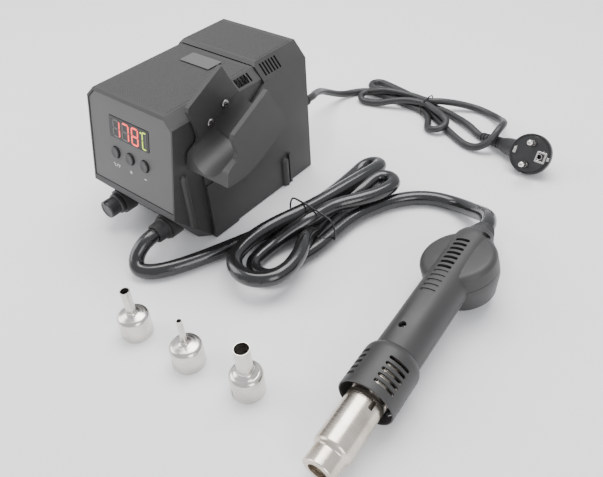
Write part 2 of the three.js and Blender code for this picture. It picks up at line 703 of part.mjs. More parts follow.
function buildHandset(parent) {
  const group = handset;
  // it lies on the left rim of the blower's underside and on the mouth of the guard
  let rise = 0;
  for (let i = 0; i < 12; i += 1) {
    rise = Math.asin((rimDrop(rise) - guardR * Math.cos(rise)) / (headY - guardMouthY - 1.5));
  }
  group.rotation.set(rise, handRoll, handTurn, 'ZXY');
  group.position.set(handX, 0, rimDrop(rise) - headY * Math.sin(rise));
  parent.add(group);

  const screws = shellScrews();
  const bosses = screws.map(({ x, y, z }) => bar([x, y, z - 9], [x, y, z + 1.4], shellBossR, 12));
  const shell = cut(join(cut(handsetBody(), handsetHollow()), ...bosses), hoseWay());
  const far = 300;
  const wells = screws.map(({ x, y, z }) => bar([x, y, z - shellScrewLength - gap], [x, y, 40],
    shellScrewR + gap, 12));
  const upper = cut(shell.intersect(block(-far, far, -far, far, partingZ + gap / 2, far)),
    ...handsetVents(), ...wells);
  add(group, 'handset_upper_shell', 'casing', upper);
  add(group, 'handset_lower_shell', 'casing',
    shell.intersect(block(-far, far, -far, far, -far, partingZ - gap / 2)));
  screws.forEach(({ x, y, z }, i) => {
    add(group, `handset_screw_${i + 1}`, 'alloy', bar([x, y, z - shellScrewLength], [x, y, z],
      shellScrewR, 12));
  });
  add(group, 'nozzle_guard', 'casing', guard());
  add(group, 'heater_barrel', 'steel', barrel());
  const bores = [];
  for (let i = 0; i < 6; i += 1) {
    const angle = (i * Math.PI) / 3;
    const [x, z] = [Math.cos(angle) * 4.2, Math.sin(angle) * 4.2];
    bores.push(bar([x, -400, z], [x, 100, z], 1.3, 6));
  }
  add(group, 'heater_core', 'ceramic', cut(bar([0, tipY + 8, 0], [0, barrelBackY - 4, 0], heaterR, 16),
    ...bores));
  add(group, 'blower_impeller', 'component', impeller());
  const motorTop = headBottom + gripWall + gap + 9;
  add(group, 'blower_motor', 'alloy', join(bar([0, headY, headBottom + gripWall + gap],
    [0, headY, motorTop], motorR, 24), bar([0, headY, motorTop - 1], [0, headY, motorTop + 9], 1.5, 10)));
  const cuffY = spineEndY + 1;
  const neckY = spineEndY + tailReach + gap;
  add(group, 'hose_cuff', 'rubber', turnedAlongY([
    [hoseD / 2 + gap, cuffY], [hoseD / 2 + 2, cuffY], [hoseD / 2 + 2, neckY],
    [hoseD / 2 + 2.6, neckY], [hoseD / 2 + 2.6, neckY + 2.7],
    [hoseD / 2 + 1.2, cuffEndY], [hoseD / 2 + gap, cuffEndY]], 20));
}

function guard() {
  const back = gripFrontY - 2 * gap;
  const inner = guardR - guardWall;
  const tube = turnedAlongY([
    [barrelR + gap, back - 4], [barrelR + gap, back - 2], [gripR - 1, back], [gripR + 0.2, back],
    [guardR, back - 5], [guardR, guardMouthY + 1.5], [guardR - 0.5, guardMouthY],
    [inner, guardMouthY], [inner, back - 4]], 20);
  const slots = [];
  for (let i = 0; i < guardSlots; i += 1) {
    for (const quarter of [45, 135, 225, 315]) {
      const arc = new THREE.BoxGeometry(guardSlotLength, 2.2, 10)
        .translate(0, guardMouthY + 7 + i * guardSlotPitch, guardR);
      slots.push(toSolid(arc.rotateY(THREE.MathUtils.degToRad(quarter))));
    }
  }
  return cut(tube, ...slots);
}

function barrel() {
  const inner = barrelR - barrelWall;
  return turnedAlongY([
    [tipR - 0.6, tipY], [tipR, tipY + 0.8], [tipR, barrelStepY - 1.2], [barrelR - 0.8, barrelStepY - 1],
    [barrelR, barrelStepY + 1], [barrelR, barrelBackY], [inner, barrelBackY],
    [inner, barrelStepY + 1], [tipR - barrelWall, barrelStepY], [tipR - barrelWall, tipY + 2.6],
    [mouthR, tipY + 2.6], [mouthR, tipY]], 20);
}

function impeller() {
  const bottom = headBottom + gripWall + 14;
  const top = headTop - gripWall - 3;
  const disc = cut(bar([0, 0, bottom], [0, 0, bottom + 1.6], impellerR, 22),
    bar([0, 0, bottom - 5], [0, 0, top + 9], 1.5 + gap, 8));
  const rim = cut(bar([0, 0, top - 1.4], [0, 0, top], impellerR, 22),
    bar([0, 0, top - 5], [0, 0, top + 5], impellerR - 4, 22));
  const blades = [];
  for (let i = 0; i < impellerBlades; i += 1) {
    const blade = new THREE.BoxGeometry(6, 1, top - bottom - 0.4);
    blade.rotateZ(0.5).translate(impellerR - 3.4, 0, (top + bottom) / 2);
    blades.push(toSolid(blade.rotateZ((i * 2 * Math.PI) / impellerBlades)));
  }
  return join(disc, rim, ...blades).translate([0, headY, 0]);
}

// ---------------------------------------------------------------- loose nozzles
function nozzleProfile(tubeR) {
  const baseR = tipR + gap + nozzleWall;
  const shoulder = [];
  const steps = 3;
  for (let i = 0; i <= steps; i += 1) {
    const angle = (i * Math.PI) / (2 * steps);
    shoulder.push([baseR - nozzleShoulder * (1 - Math.cos(angle)) * 0.8,
      nozzleBaseHeight - nozzleShoulder * (1 - Math.sin(angle))]);
  }
  const outer = [[baseR, 0], ...shoulder, [tubeR + 1, nozzleBaseHeight + 0.6],
    [tubeR, nozzleBaseHeight + 2], [tubeR, nozzleHeight]];
  const inner = [[baseR, 0], ...shoulder, [tubeR + 1, nozzleBaseHeight + 0.6],
    [tubeR, nozzleBaseHeight + 2]].map(([r, z], i, all) => [r - nozzleWall,
    i === 0 ? 0 : z - (i < all.length - 1 ? nozzleWall : 0)]);
  return [...outer, [tubeR - nozzleWall, nozzleHeight], ...inner.reverse()];
}

function buildNozzles(parent) {
  for (const { name, tubeR, x, y } of nozzles) {
    add(parent, name, 'steel', turned(nozzleProfile(tubeR), 20).translate([x, y, 0]));
  }
}

// ---------------------------------------------------------------- hose and mains lead
// routes, in order from the bench unit; the hose and the lead each pass through their bundle
const hoseLeadPoints = [[28, -98, 18], [29, -107, 12], [35, -112, 7.2], [44, -108, 6.2],
  [52, -99, 6.2], [59, -87, 6.2], [66, -72, 6.2], [73, -56, 6.2], [81, -39, 6.2], [89, -22, 6.2]];
const hoseTailPoints = [[137.6, 53, 6.2], [142.3, 62.4, 6.2], [147, 71.8, 6.2], [154.5, 81.5, 6.2],
  [165, 89, 6.2], [176, 93.5, 6.3], [187, 95, 6.8], [198, 93, 9], [209, 88.5, 13],
  [219, 82, 18.5], [226.5, 75, 24], [231, 68, 28.5]];
const mainsLeadPoints = [[29, 112, 49], [22, 124, 44], [13, 141, 36], [5, 157, 27], [2, 172, 18],
  [1.5, 187, 9.5], [3, 198, 5], [8, 207.5, 3.7], [16, 213.5, 3.7], [24, 219.5, 3.7]];
const hoseBundle = { ends: [[115, -55, 27], [118, 4, 18.4], [118.5, 83, 22]], height: 2 * hoseD + 0.8 };
const mainsBundle = { ends: [[32, 218, 22], [90, 217, 12], [152, 222, 26]], height: 2 * leadD + 0.8 };

function cordTube(points, diameter, steps, sides) {
  const curve = new THREE.CatmullRomCurve3(points.map((p) => new THREE.Vector3(...p)), false,
    'centripetal');
  const ring = [];
  for (let i = 0; i < sides; i += 1) {
    const angle = (i * 2 * Math.PI) / sides;
    ring.push(new THREE.Vector2(Math.cos(angle), Math.sin(angle)).multiplyScalar(diameter / 2));
  }
  return new THREE.ExtrudeGeometry(new THREE.Shape(ring), { steps, extrudePath: curve,
    bevelEnabled: false });
}

// the outer shape of a bundle: two round ends of their own radius and the straight sides between
function hankOutline([x0, y0, r0], [x1, y1, r1], steps = 10) {
  const heading = Math.atan2(y1 - y0, x1 - x0);
  const lag = Math.acos((r0 - r1) / Math.hypot(x1 - x0, y1 - y0));
  const points = [];
  for (let i = 0; i <= steps; i += 1) {
    const angle = heading + lag + ((2 * Math.PI - 2 * lag) * i) / steps;
    points.push([x0 + r0 * Math.cos(angle), y0 + r0 * Math.sin(angle)]);
  }
  for (let i = 0; i <= steps; i += 1) {
    const angle = heading - lag + (2 * lag * i) / steps;
    points.push([x1 + r1 * Math.cos(angle), y1 + r1 * Math.sin(angle)]);
  }
  return points;
}

// a wire ring round a bundle, square to the bundle's run
function tie(x, y, heading, halfWidth, height) {
  const outer = brick(0, 0, height / 2 + 0.6, 2.2, 2 * halfWidth + 2 * gap + 2.4, height + 1.6);
  const inner = brick(0, 0, height / 2 + 0.2, 6, 2 * halfWidth + 2 * gap, height + 2 * gap);
  return cut(outer, inner).rotate([0, 0, heading]).translate([x, y, 0.2]);
}

// room for a tube that meets a bundle: from a little beyond its end, back along its straight run
function seat(points, r) {
  const [end, back] = [points[0], points[2]].map((point) => new THREE.Vector3(...point));
  const deep = end.clone().add(end.clone().sub(back).setLength(gap)).toArray();
  return bar(deep, points[2], r + 2 * gap, 12);
}

function bundle({ ends, height }, seats) {
  const halves = [[ends[0], ends[1]], [ends[1], ends[2]]].map(([a, b]) => pull(hankOutline(a, b), 'z',
    gap, height));
  return cut(join(...halves), ...seats);
}

function bundleTie({ ends, height }) {
  const [x, y, r] = ends[1];
  const heading = Math.atan2(ends[2][1] - ends[0][1], ends[2][0] - ends[0][0]);
  return tie(x, y, THREE.MathUtils.radToDeg(heading), r + 3 * gap, height);
}

function buildCords(cuff) {
  const hoseAt = (y) => [socketX, y, socketZ];
  const straightHose = [bossY - 4 - gap, bossY - 8, bossY - glandLength, bossY - glandLength - 2]
    .map(hoseAt);
  addCord('hose_lead', 'hose', cordTube([...straightHose, ...hoseLeadPoints], hoseD, 30, 10));
  addCord('hose_bundle', 'hose', bundle(hoseBundle,
    [seat([...hoseLeadPoints].reverse(), hoseD / 2), seat(hoseTailPoints, hoseD / 2)]));
  addCord('hose_tie', 'wire', bundleTie(hoseBundle));
  addCord('hose_tail', 'hose', cordTube([...hoseTailPoints, ...cuff], hoseD, 30, 10));
  const leadAt = (y) => [leadX, y, leadZ];
  const straight = [backY - 5, backY + 10, backY + reliefLength, backY + reliefLength + 3].map(leadAt);
  addCord('mains_lead', 'lead', cordTube([...straight, ...mainsLeadPoints], leadD, 36, 8));
  const reliefRun = [reliefReach, reliefReach / 2, 0].map((reach) => plugPoint(neckBack, neckReach + reach));
  addCord('mains_bundle', 'lead', bundle(mainsBundle,
    [seat([...mainsLeadPoints].reverse(), leadD / 2), seat(reliefRun, reliefR0)]));
  addCord('mains_tie', 'wire', bundleTie(mainsBundle));
  buildPlug();
}

function plugPoint(back, reach) {
  return plugFace.clone().addScaledVector(plugNormal, -back).addScaledVector(plugNeck, reach).toArray();
}

function buildPlug() {
  const across = plugNeck.clone().addScaledVector(plugNormal, -plugNeck.dot(plugNormal)).normalize();
  const upright = plugNormal.clone().cross(across);
  const place = new THREE.Matrix4().makeBasis(across, upright, plugNormal).setPosition(plugFace);
  const body = turned([[0, -plugThick], [12, -plugThick], [plugR - 1.6, -8], [plugR, -6.5], [plugR, -0.6],
    [plugR - 0.6, 0], [0, 0]], 24).transform(place.elements);
  const neck = bar(plugPoint(8, 4), plugPoint(neckBack, neckReach), 8.4, 16, reliefR0);
  const pinPlaces = [-1, 1].map((side) => plugFace.clone()
    .addScaledVector(upright, (side * pinSpacing) / 2));
  const sockets = pinPlaces.map((p) => bar(p.clone().addScaledVector(plugNormal, -6).toArray(),
    p.clone().addScaledVector(plugNormal, 1).toArray(), pinR + gap, 14));
  const earth = plugFace.clone().addScaledVector(across, -earthOffset);
  const earthHole = bar(earth.clone().addScaledVector(plugNormal, -9).toArray(),
    earth.clone().addScaledVector(plugNormal, 1).toArray(), 2.6, 14);
  addCord('plug_body', 'lead', cut(join(body, neck), ...sockets, earthHole));
  pinPlaces.forEach((p, i) => {
    const root = p.clone().addScaledVector(plugNormal, -6 + gap).toArray();
    const tip = p.clone().addScaledVector(plugNormal, pinLength).toArray();
    addCord(`plug_pin_${i + 1}`, 'brass', bar(root, tip, pinR, 14));
  });
  addCord('plug_strain_relief', 'lead', bar(plugPoint(neckBack, neckReach + gap),
    plugPoint(neckBack, neckReach + reliefReach), reliefR0, 16, reliefBackR));
}

// ---------------------------------------------------------------- the set
const handset = new THREE.Group();

// the hose runs straight up to the cuff, and stays clear of it as the handset lifts
function hoseCuffEnd() {
  handset.updateMatrixWorld(true);
  return [cuffEndY + 6, cuffEndY + 1].map((y) => handset
    .localToWorld(new THREE.Vector3(0, y, 0)).toArray());
}

// the origin is on the bench, under the middle of the unit, its handset and its nozzles
function standOnOrigin() {
  everything.updateMatrixWorld(true);
  const extent = new THREE.Box3();
  everything.traverse((node) => {
    if (node.isMesh && !cordPieces.includes(node)) extent.expandByObject(node, true);
  });
  const middle = extent.getCenter(new THREE.Vector3());
  everything.position.set(-middle.x, -middle.y, 0);
}

const stationGroup = new THREE.Group();
everything.add(stationGroup);
buildCasing(stationGroup);
buildPanel(stationGroup);
buildControls(stationGroup);
buildCradle(stationGroup);
buildInside(stationGroup);
buildRear(stationGroup);
buildHandset(everything);
buildNozzles(everything);
buildCords(hoseCuffEnd());
standOnOrigin();

export default everything;
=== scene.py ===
"""Looks of the hot air station: bench unit, handset on its hose, mains lead and three loose nozzles."""
import json
import math

import bmesh
import bpy
from mathutils import Matrix, Vector

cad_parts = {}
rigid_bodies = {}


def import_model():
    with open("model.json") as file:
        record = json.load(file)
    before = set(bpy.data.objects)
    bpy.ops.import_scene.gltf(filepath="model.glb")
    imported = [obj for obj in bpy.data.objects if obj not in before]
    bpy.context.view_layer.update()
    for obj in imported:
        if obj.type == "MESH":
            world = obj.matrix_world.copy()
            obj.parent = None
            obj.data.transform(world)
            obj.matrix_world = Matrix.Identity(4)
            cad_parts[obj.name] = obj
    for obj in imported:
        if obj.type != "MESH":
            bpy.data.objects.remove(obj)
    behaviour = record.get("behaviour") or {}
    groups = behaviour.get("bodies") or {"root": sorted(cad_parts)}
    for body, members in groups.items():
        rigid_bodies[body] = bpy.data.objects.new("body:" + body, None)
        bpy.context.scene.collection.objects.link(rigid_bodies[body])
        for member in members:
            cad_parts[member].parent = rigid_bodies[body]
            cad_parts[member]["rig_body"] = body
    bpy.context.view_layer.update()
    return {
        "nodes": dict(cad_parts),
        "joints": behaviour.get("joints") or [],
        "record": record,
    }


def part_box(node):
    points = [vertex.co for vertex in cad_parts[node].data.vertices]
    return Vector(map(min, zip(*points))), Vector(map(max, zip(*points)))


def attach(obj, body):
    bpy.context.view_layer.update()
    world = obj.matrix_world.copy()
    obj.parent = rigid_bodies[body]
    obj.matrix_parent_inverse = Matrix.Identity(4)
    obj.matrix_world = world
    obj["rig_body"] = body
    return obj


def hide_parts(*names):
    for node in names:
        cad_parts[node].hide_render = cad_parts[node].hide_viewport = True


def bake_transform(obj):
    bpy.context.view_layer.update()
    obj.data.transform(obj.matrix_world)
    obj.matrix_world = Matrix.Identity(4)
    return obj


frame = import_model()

MM = 0.001

# ---------------------------------------------------------------- places
# the bench unit's own frame: x from the middle of its base, y from its back wall, millimetres
BACK_Y = 79
base_low, base_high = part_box("base_plate")
UNIT = Vector(((base_low.x + base_high.x) / 2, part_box("rear_cover")[1].y - BACK_Y * MM, 0))
LEAN = math.radians(12.2)
CHIN = (-79, 38)                 # y and z of the control panel's lower edge

# the handset's own frame: y back along its axis, z up through the blower, millimetres
HEAD_Y = 12
spin = next(joint for joint in frame["joints"] if joint["name"] == "blower_spin")
HAND_Z = Vector(spin["axis"]).normalized()
TURN = math.radians(3.55)
RISE = math.atan2(math.sin(TURN) * HAND_Z.x - math.cos(TURN) * HAND_Z.y, HAND_Z.z)
HAND_Y = Vector((-math.sin(TURN) * math.cos(RISE), math.cos(TURN) * math.cos(RISE), math.sin(RISE)))
HAND_X = HAND_Y.cross(HAND_Z)
HAND = Matrix((HAND_X, HAND_Y, HAND_Z)).transposed().to_4x4()
HAND.translation = Vector(spin["pos_m"]) - HAND_Y * HEAD_Y * MM


def at(x, y, z):
    """A point of the bench unit's frame, in metres in the row frame."""
    return UNIT + Vector((x, y, z)) * MM


def on_handset(x, y, z):
    return HAND @ (Vector((x, y, z)) * MM)


# ---------------------------------------------------------------- camera, light and floor
def look_from():
    camera = bpy.data.objects.new("camera", bpy.data.cameras.new("camera"))
    bpy.context.scene.collection.objects.link(camera)
    bpy.context.scene.camera = camera
    camera.data.lens = 37.46
    camera.data.sensor_width = 36
    camera.data.clip_start = 0.01
    turn, rise, roll = (math.radians(angle) for angle in (41.844, 41.155, -4.130))
    back = Vector((math.sin(turn) * math.cos(rise), -math.cos(turn) * math.cos(rise), math.sin(rise)))
    right = Vector((math.cos(turn), math.sin(turn), 0))
    up = back.cross(right)
    across = right * math.cos(roll) + up * math.sin(roll)
    upright = up * math.cos(roll) - right * math.sin(roll)
    camera.matrix_world = Matrix((across, upright, back)).transposed().to_4x4()
    camera.location = at(361.6, -288.6, 331.4)


def panel_light(name, place, target, size, power, shape="RECTANGLE"):
    lamp = bpy.data.lights.new(name, "AREA")
    lamp.shape = shape
    lamp.size, lamp.size_y = size
    lamp.energy = power
    holder = bpy.data.objects.new(name, lamp)
    bpy.context.scene.collection.objects.link(holder)
    holder.location = place
    holder.rotation_euler = (Vector(target) - Vector(place)).to_track_quat("-Z", "Y").to_euler()


def light_and_floor():
    world = bpy.data.worlds.new("studio")
    bpy.context.scene.world = world
    world.use_nodes = True
    sky = world.node_tree.nodes["Background"]
    sky.inputs["Color"].default_value = (0.93, 0.95, 1.0, 1)
    sky.inputs["Strength"].default_value = 0.9
    panel_light("overhead", (-0.15, 0.35, 1.1), (0, 0, 0.05), (1.0, 0.7), 18)
    panel_light("left_window", (-1.0, -0.5, 0.7), (0, 0, 0.05), (0.7, 0.9), 8.5)
    panel_light("right_fill", (1.1, -0.4, 0.6), (0, 0, 0.05), (0.5, 0.8), 6)
    bpy.ops.mesh.primitive_plane_add(size=8)
    floor = bpy.context.object
    floor.name = "floor"
    paint = bpy.data.materials.new("pale_floor")
    paint.use_nodes = True
    shader = paint.node_tree.nodes["Principled BSDF"]
    shader.inputs["Base Color"].default_value = (0.9, 0.9, 0.9, 1)
    shader.inputs["Roughness"].default_value = 0.7
    floor.data.materials.append(paint)


# ---------------------------------------------------------------- shader groups
def new_group(name, inputs, outputs):
    group = bpy.data.node_groups.new(name, "ShaderNodeTree")
    for label, kind, value in inputs:
        socket = group.interface.new_socket(label, in_out="INPUT", socket_type="NodeSocket" + kind)
        socket.default_value = value
    for label, kind in outputs:
        group.interface.new_socket(label, in_out="OUTPUT", socket_type="NodeSocket" + kind)
    return group, group.nodes.new("NodeGroupInput"), group.nodes.new("NodeGroupOutput")


def node(tree, kind, links=None, **settings):
    """Adds a shader node; links maps an input to a value or to another node's output."""
    made = tree.nodes.new("ShaderNode" + kind)
    for key, value in settings.items():
        setattr(made, key, value)
    for key, value in (links or {}).items():
        if isinstance(value, bpy.types.NodeSocket):
            tree.links.new(value, made.inputs[key])
        else:
            made.inputs[key].default_value = value
    return made


def ramp(tree, factor, *stops):
    made = node(tree, "ValToRGB", {"Fac": factor})
    elements = made.color_ramp.elements
    while len(elements) < len(stops):
        elements.new(0.5)
    for element, (place, value) in zip(elements, stops):
        element.position = place
        element.color = value if isinstance(value, tuple) else (value, value, value, 1)
    return made.outputs["Color"]


def moulded_grain():
    """Fine spark texture of a moulded case, with slow changes of tone and gloss."""
    group, given, out = new_group("moulded_grain", [
        ("Color", "Color", (0.05, 0.05, 0.05, 1)), ("Grain Size", "Float", 2600),
        ("Tone", "Float", 0.2), ("Roughness", "Float", 0.5)],
        [("Color", "Color"), ("Roughness", "Float"), ("Height", "Float")])
    where = node(group, "TexCoord").outputs["Object"]
    fine = node(group, "TexNoise", {"Vector": where, "Scale": given.outputs["Grain Size"],
                                    "Detail": 2.0, "Roughness": 0.6})
    slow = node(group, "TexNoise", {"Vector": where, "Scale": 28.0, "Detail": 4.0})
    tone = node(group, "MapRange", {"Value": slow.outputs["Fac"], "From Min": 0.3, "From Max": 0.7,
                                    "To Min": -0.5, "To Max": 0.5})
    swing = node(group, "Math", {0: tone.outputs[0], 1: given.outputs["Tone"]}, operation="MULTIPLY")
    speck = node(group, "MapRange", {"Value": fine.outputs["Fac"], "From Min": 0.3, "From Max": 0.7,
                                     "To Min": -0.1, "To Max": 0.1})
    total = node(group, "Math", {0: swing.outputs[0], 1: speck.outputs[0]}, operation="ADD")
    gain = node(group, "Math", {0: total.outputs[0], 1: 1.0}, operation="ADD")
    shade = node(group, "VectorMath", {0: given.outputs["Color"], "Scale": gain.outputs[0]},
                 operation="SCALE")
    gloss = node(group, "Math", {0: tone.outputs[0], 1: 0.12, 2: given.outputs["Roughness"]},
                 operation="MULTIPLY_ADD")
    group.links.new(shade.outputs["Vector"], out.inputs["Color"])
    group.links.new(gloss.outputs[0], out.inputs["Roughness"])
    group.links.new(fine.outputs["Fac"], out.inputs["Height"])
    return group


def turned_lines():
    """Hair-fine lines round a turned or drawn tube, with blotches of tone."""
    group, given, out = new_group("turned_lines", [
        ("Color", "Color", (0.6, 0.6, 0.6, 1)), ("Tint", "Color", (0.5, 0.4, 0.3, 1)),
        ("Along", "Vector", (0, 1, 0)), ("Fineness", "Float", 1500), ("Roughness", "Float", 0.3)],
        [("Color", "Color"), ("Roughness", "Float"), ("Height", "Float")])
    where = node(group, "TexCoord").outputs["Object"]
    run = node(group, "VectorMath", {0: where, 1: given.outputs["Along"]}, operation="DOT_PRODUCT")
    lines = node(group, "TexNoise", {"W": run.outputs["Value"], "Scale": given.outputs["Fineness"],
                                     "Detail": 3.0}, noise_dimensions="1D")
    blotch = node(group, "TexNoise", {"Vector": where, "Scale": 90.0, "Detail": 5.0})
    spread = ramp(group, blotch.outputs["Fac"], (0.35, 0.0), (0.7, 1.0))
    tinted = node(group, "Mix", {"Factor": spread, "A": given.outputs["Color"],
                                 "B": given.outputs["Tint"]}, data_type="RGBA")
    for socket in tinted.inputs:
        if socket.type == "RGBA" and not socket.is_linked:
            index = 0 if socket.name == "A" else 1
            group.links.new(given.outputs[index], socket)
    vary = node(group, "MapRange", {"Value": lines.outputs["Fac"], "From Min": 0.25, "From Max": 0.75,
                                    "To Min": -0.09, "To Max": 0.09})
    gloss = node(group, "Math", {0: vary.outputs[0], 1: given.outputs["Roughness"]}, operation="ADD")
    group.links.new(tinted.outputs[2], out.inputs["Color"])
    group.links.new(gloss.outputs[0], out.inputs["Roughness"])
    group.links.new(lines.outputs["Fac"], out.inputs["Height"])
    return group


def sheath_folds():
    """Long soft creases and smears on a cord's sheath; the colour is painted darker in the creases and lighter on
    the folds, as painted shade and painted highlight.
    """
    group, given, out = new_group("sheath_folds", [
        ("Color", "Color", (0.02, 0.02, 0.02, 1)), ("Crease Size", "Float", 60),
        ("Roughness", "Float", 0.25)],
        [("Color", "Color"), ("Roughness", "Float"), ("Height", "Float")])
    where = node(group, "TexCoord").outputs["Object"]
    crease = node(group, "TexNoise", {"Vector": where, "Scale": given.outputs["Crease Size"],
                                      "Detail": 3.0, "Distortion": 0.8})
    smear = node(group, "TexNoise", {"Vector": where, "Scale": 240.0, "Detail": 4.0})
    vary = node(group, "MapRange", {"Value": smear.outputs["Fac"], "From Min": 0.3, "From Max": 0.7,
                                    "To Min": -0.06, "To Max": 0.1})
    gloss = node(group, "Math", {0: vary.outputs[0], 1: given.outputs["Roughness"]}, operation="ADD")
    # painted shade and painted highlight: the sheath's colour follows the crease bump, darker in the creases and
    # lighter on the folds
    crease_shade_and_highlight = node(group, "MapRange", {"Value": crease.outputs["Fac"], "From Min": 0.3, "From Max": 0.7,
                                    "To Min": 0.8, "To Max": 1.25})
    shade = node(group, "VectorMath", {0: given.outputs["Color"], "Scale": crease_shade_and_highlight.outputs[0]},
                 operation="SCALE")
    group.links.new(shade.outputs["Vector"], out.inputs["Color"])
    group.links.new(gloss.outputs[0], out.inputs["Roughness"])
    group.links.new(crease.outputs["Fac"], out.inputs["Height"])
    return group


GRAIN = moulded_grain()
LINES = turned_lines()
FOLDS = sheath_folds()


# ---------------------------------------------------------------- materials
def surface(name, group, bump, depth, metallic=0.0, coat=0.0, **values):
    """A material whose colour, roughness and bump come from one of the groups above."""
    made = bpy.data.materials.new(name)
    made.use_nodes = True
    tree = made.node_tree
    shader = tree.nodes["Principled BSDF"]
    shader.inputs["Metallic"].default_value = metallic
    shader.inputs["Coat Weight"].default_value = coat
    used = tree.nodes.new("ShaderNodeGroup")
    used.node_tree = group
    for label, value in values.items():
        used.inputs[label.replace("_", " ").title()].default_value = value
    relief = node(tree, "Bump", {"Height": used.outputs["Height"], "Strength": bump,
                                 "Distance": depth})
    tree.links.new(used.outputs["Color"], shader.inputs["Base Color"])
    tree.links.new(used.outputs["Roughness"], shader.inputs["Roughness"])
    tree.links.new(relief.outputs["Normal"], shader.inputs["Normal"])
    return made


def grey(value, warm=0.0):
    return (value * (1 + warm), value, value * (1 - warm), 1)


MATERIALS = {
    "casing": surface("charcoal_case", GRAIN, 0.5, 0.00008, color=grey(0.03, 0.02),
                      grain_size=2400, tone=0.18, roughness=0.5),
    "panel": surface("panel_sheet", GRAIN, 0.25, 0.00004, color=grey(0.085, 0.02),
                     grain_size=3600, tone=0.12, roughness=0.5),
    "keys": surface("black_knobs", GRAIN, 0.2, 0.00003, color=grey(0.025),
                    grain_size=3000, tone=0.1, roughness=0.38),
    "window": surface("smoked_window", GRAIN, 0.02, 0.00001, color=grey(0.003),
                      grain_size=900, tone=0.1, roughness=0.32),
    "component": surface("black_moulding", GRAIN, 0.2, 0.00004, color=grey(0.02),
                         grain_size=2600, tone=0.12, roughness=0.42),
    "rubber": surface("soft_rubber", GRAIN, 0.5, 0.00008, color=grey(0.018),
                      grain_size=1800, tone=0.2, roughness=0.6),
    "board": surface("board_green", GRAIN, 0.3, 0.00004, color=(0.02, 0.12, 0.05, 1),
                     grain_size=1500, tone=0.2, roughness=0.4),
    "ceramic": surface("heater_ceramic", GRAIN, 0.4, 0.00006, color=(0.62, 0.56, 0.46, 1),
                       grain_size=1600, tone=0.25, roughness=0.7),
    "barrel_steel": surface("drawn_steel", LINES, 0.12, 0.00002, metallic=1.0,
                            color=(0.72, 0.66, 0.58, 1), tint=(0.55, 0.48, 0.4, 1),
                            fineness=2600, roughness=0.27),
    "nozzle_steel": surface("nozzle_steel", LINES, 0.1, 0.00002, metallic=1.0,
                            color=(0.74, 0.71, 0.67, 1), tint=(0.6, 0.57, 0.53, 1),
                            along=(0, 0, 1), fineness=2600, roughness=0.24),
    "alloy": surface("cast_alloy", LINES, 0.2, 0.00003, metallic=1.0, color=(0.6, 0.6, 0.62, 1),
                     tint=(0.5, 0.5, 0.52, 1), fineness=1200, roughness=0.4),
    "copper": surface("copper_winding", LINES, 0.8, 0.0002, metallic=1.0,
                      color=(0.66, 0.32, 0.16, 1), tint=(0.5, 0.22, 0.1, 1), fineness=900,
                      roughness=0.35),
    "laminate": surface("stacked_sheet", LINES, 0.8, 0.0002, metallic=0.8,
                        color=(0.3, 0.31, 0.33, 1), tint=(0.2, 0.2, 0.22, 1), fineness=1600,
                        roughness=0.45),
    "screw_steel": surface("screw_steel", LINES, 0.1, 0.00002, metallic=1.0,
                           color=(0.36, 0.35, 0.34, 1), tint=(0.28, 0.27, 0.26, 1),
                           along=(0, 0, 1), fineness=2000, roughness=0.3),
    "pins": surface("plated_pin", LINES, 0.1, 0.00002, metallic=1.0, color=(0.78, 0.76, 0.72, 1),
                    tint=(0.68, 0.65, 0.6, 1), fineness=2400, roughness=0.2),
    # the hose, lead and tie wire sheaths get painted shade in their creases and painted highlight on their folds
    # from sheath_folds
    "hose": surface("hose_sheath", FOLDS, 0.25, 0.0006, coat=0.3, color=grey(0.012),
                    crease_size=45, roughness=0.2),
    "lead": surface("lead_sheath", FOLDS, 0.12, 0.0003, color=grey(0.02), crease_size=80,
                    roughness=0.42),
    "tie_wire": surface("tie_wire", FOLDS, 0.1, 0.0001, color=grey(0.012), crease_size=300,
                        roughness=0.35),
}
def glow(name, colour, strength):
    """Light from behind a smoked window, uneven across each bar."""
    made = bpy.data.materials.new(name)
    made.use_nodes = True
    tree = made.node_tree
    shader = tree.nodes["Principled BSDF"]
    where = node(tree, "TexCoord").outputs["Object"]
    patch = node(tree, "TexNoise", {"Vector": where, "Scale": 500.0, "Detail": 1.0})
    tone = ramp(tree, patch.outputs["Fac"], (0.3, tuple(0.75 * c for c in colour) + (1,)),
                (0.7, tuple(colour) + (1,)))
    tree.links.new(tone, shader.inputs["Emission Color"])
    tree.links.new(tone, shader.inputs["Base Color"])
    shader.inputs["Emission Strength"].default_value = strength
    shader.inputs["Roughness"].default_value = 0.4
    return made


MATERIALS["digits"] = glow("red_digits", (1.0, 0.08, 0.06), 2.2)
MATERIALS["unit_sign"] = glow("yellow_green_sign", (0.62, 0.9, 0.05), 1.4)
MATERIALS["print"] = surface("white_print", GRAIN, 0.1, 0.00002, color=grey(0.75),
                             grain_size=3000, tone=0.08, roughness=0.5)
MATERIALS["display"] = surface("dim_segment", GRAIN, 0.05, 0.00001, coat=0.4,
                               color=(0.055, 0.045, 0.042, 1), grain_size=2000, tone=0.1,
                               roughness=0.25)
MATERIALS["earth_metal"] = MATERIALS["pins"]


# ---------------------------------------------------------------- modelling helpers
def deselect():
    if bpy.context.object and bpy.context.object.mode != "OBJECT":
        bpy.ops.object.mode_set(mode="OBJECT")
    bpy.ops.object.select_all(action="DESELECT")


def pick(piece):
    deselect()
    piece.select_set(True)
    bpy.context.view_layer.objects.active = piece


def modify(piece, kind, **settings):
    """Adds a modifier and applies it."""
    pick(piece)
    step = piece.modifiers.new(kind.title(), kind)
    for key, value in settings.items():
        setattr(step, key, value)
    bpy.ops.object.modifier_apply(modifier=step.name)
    return piece


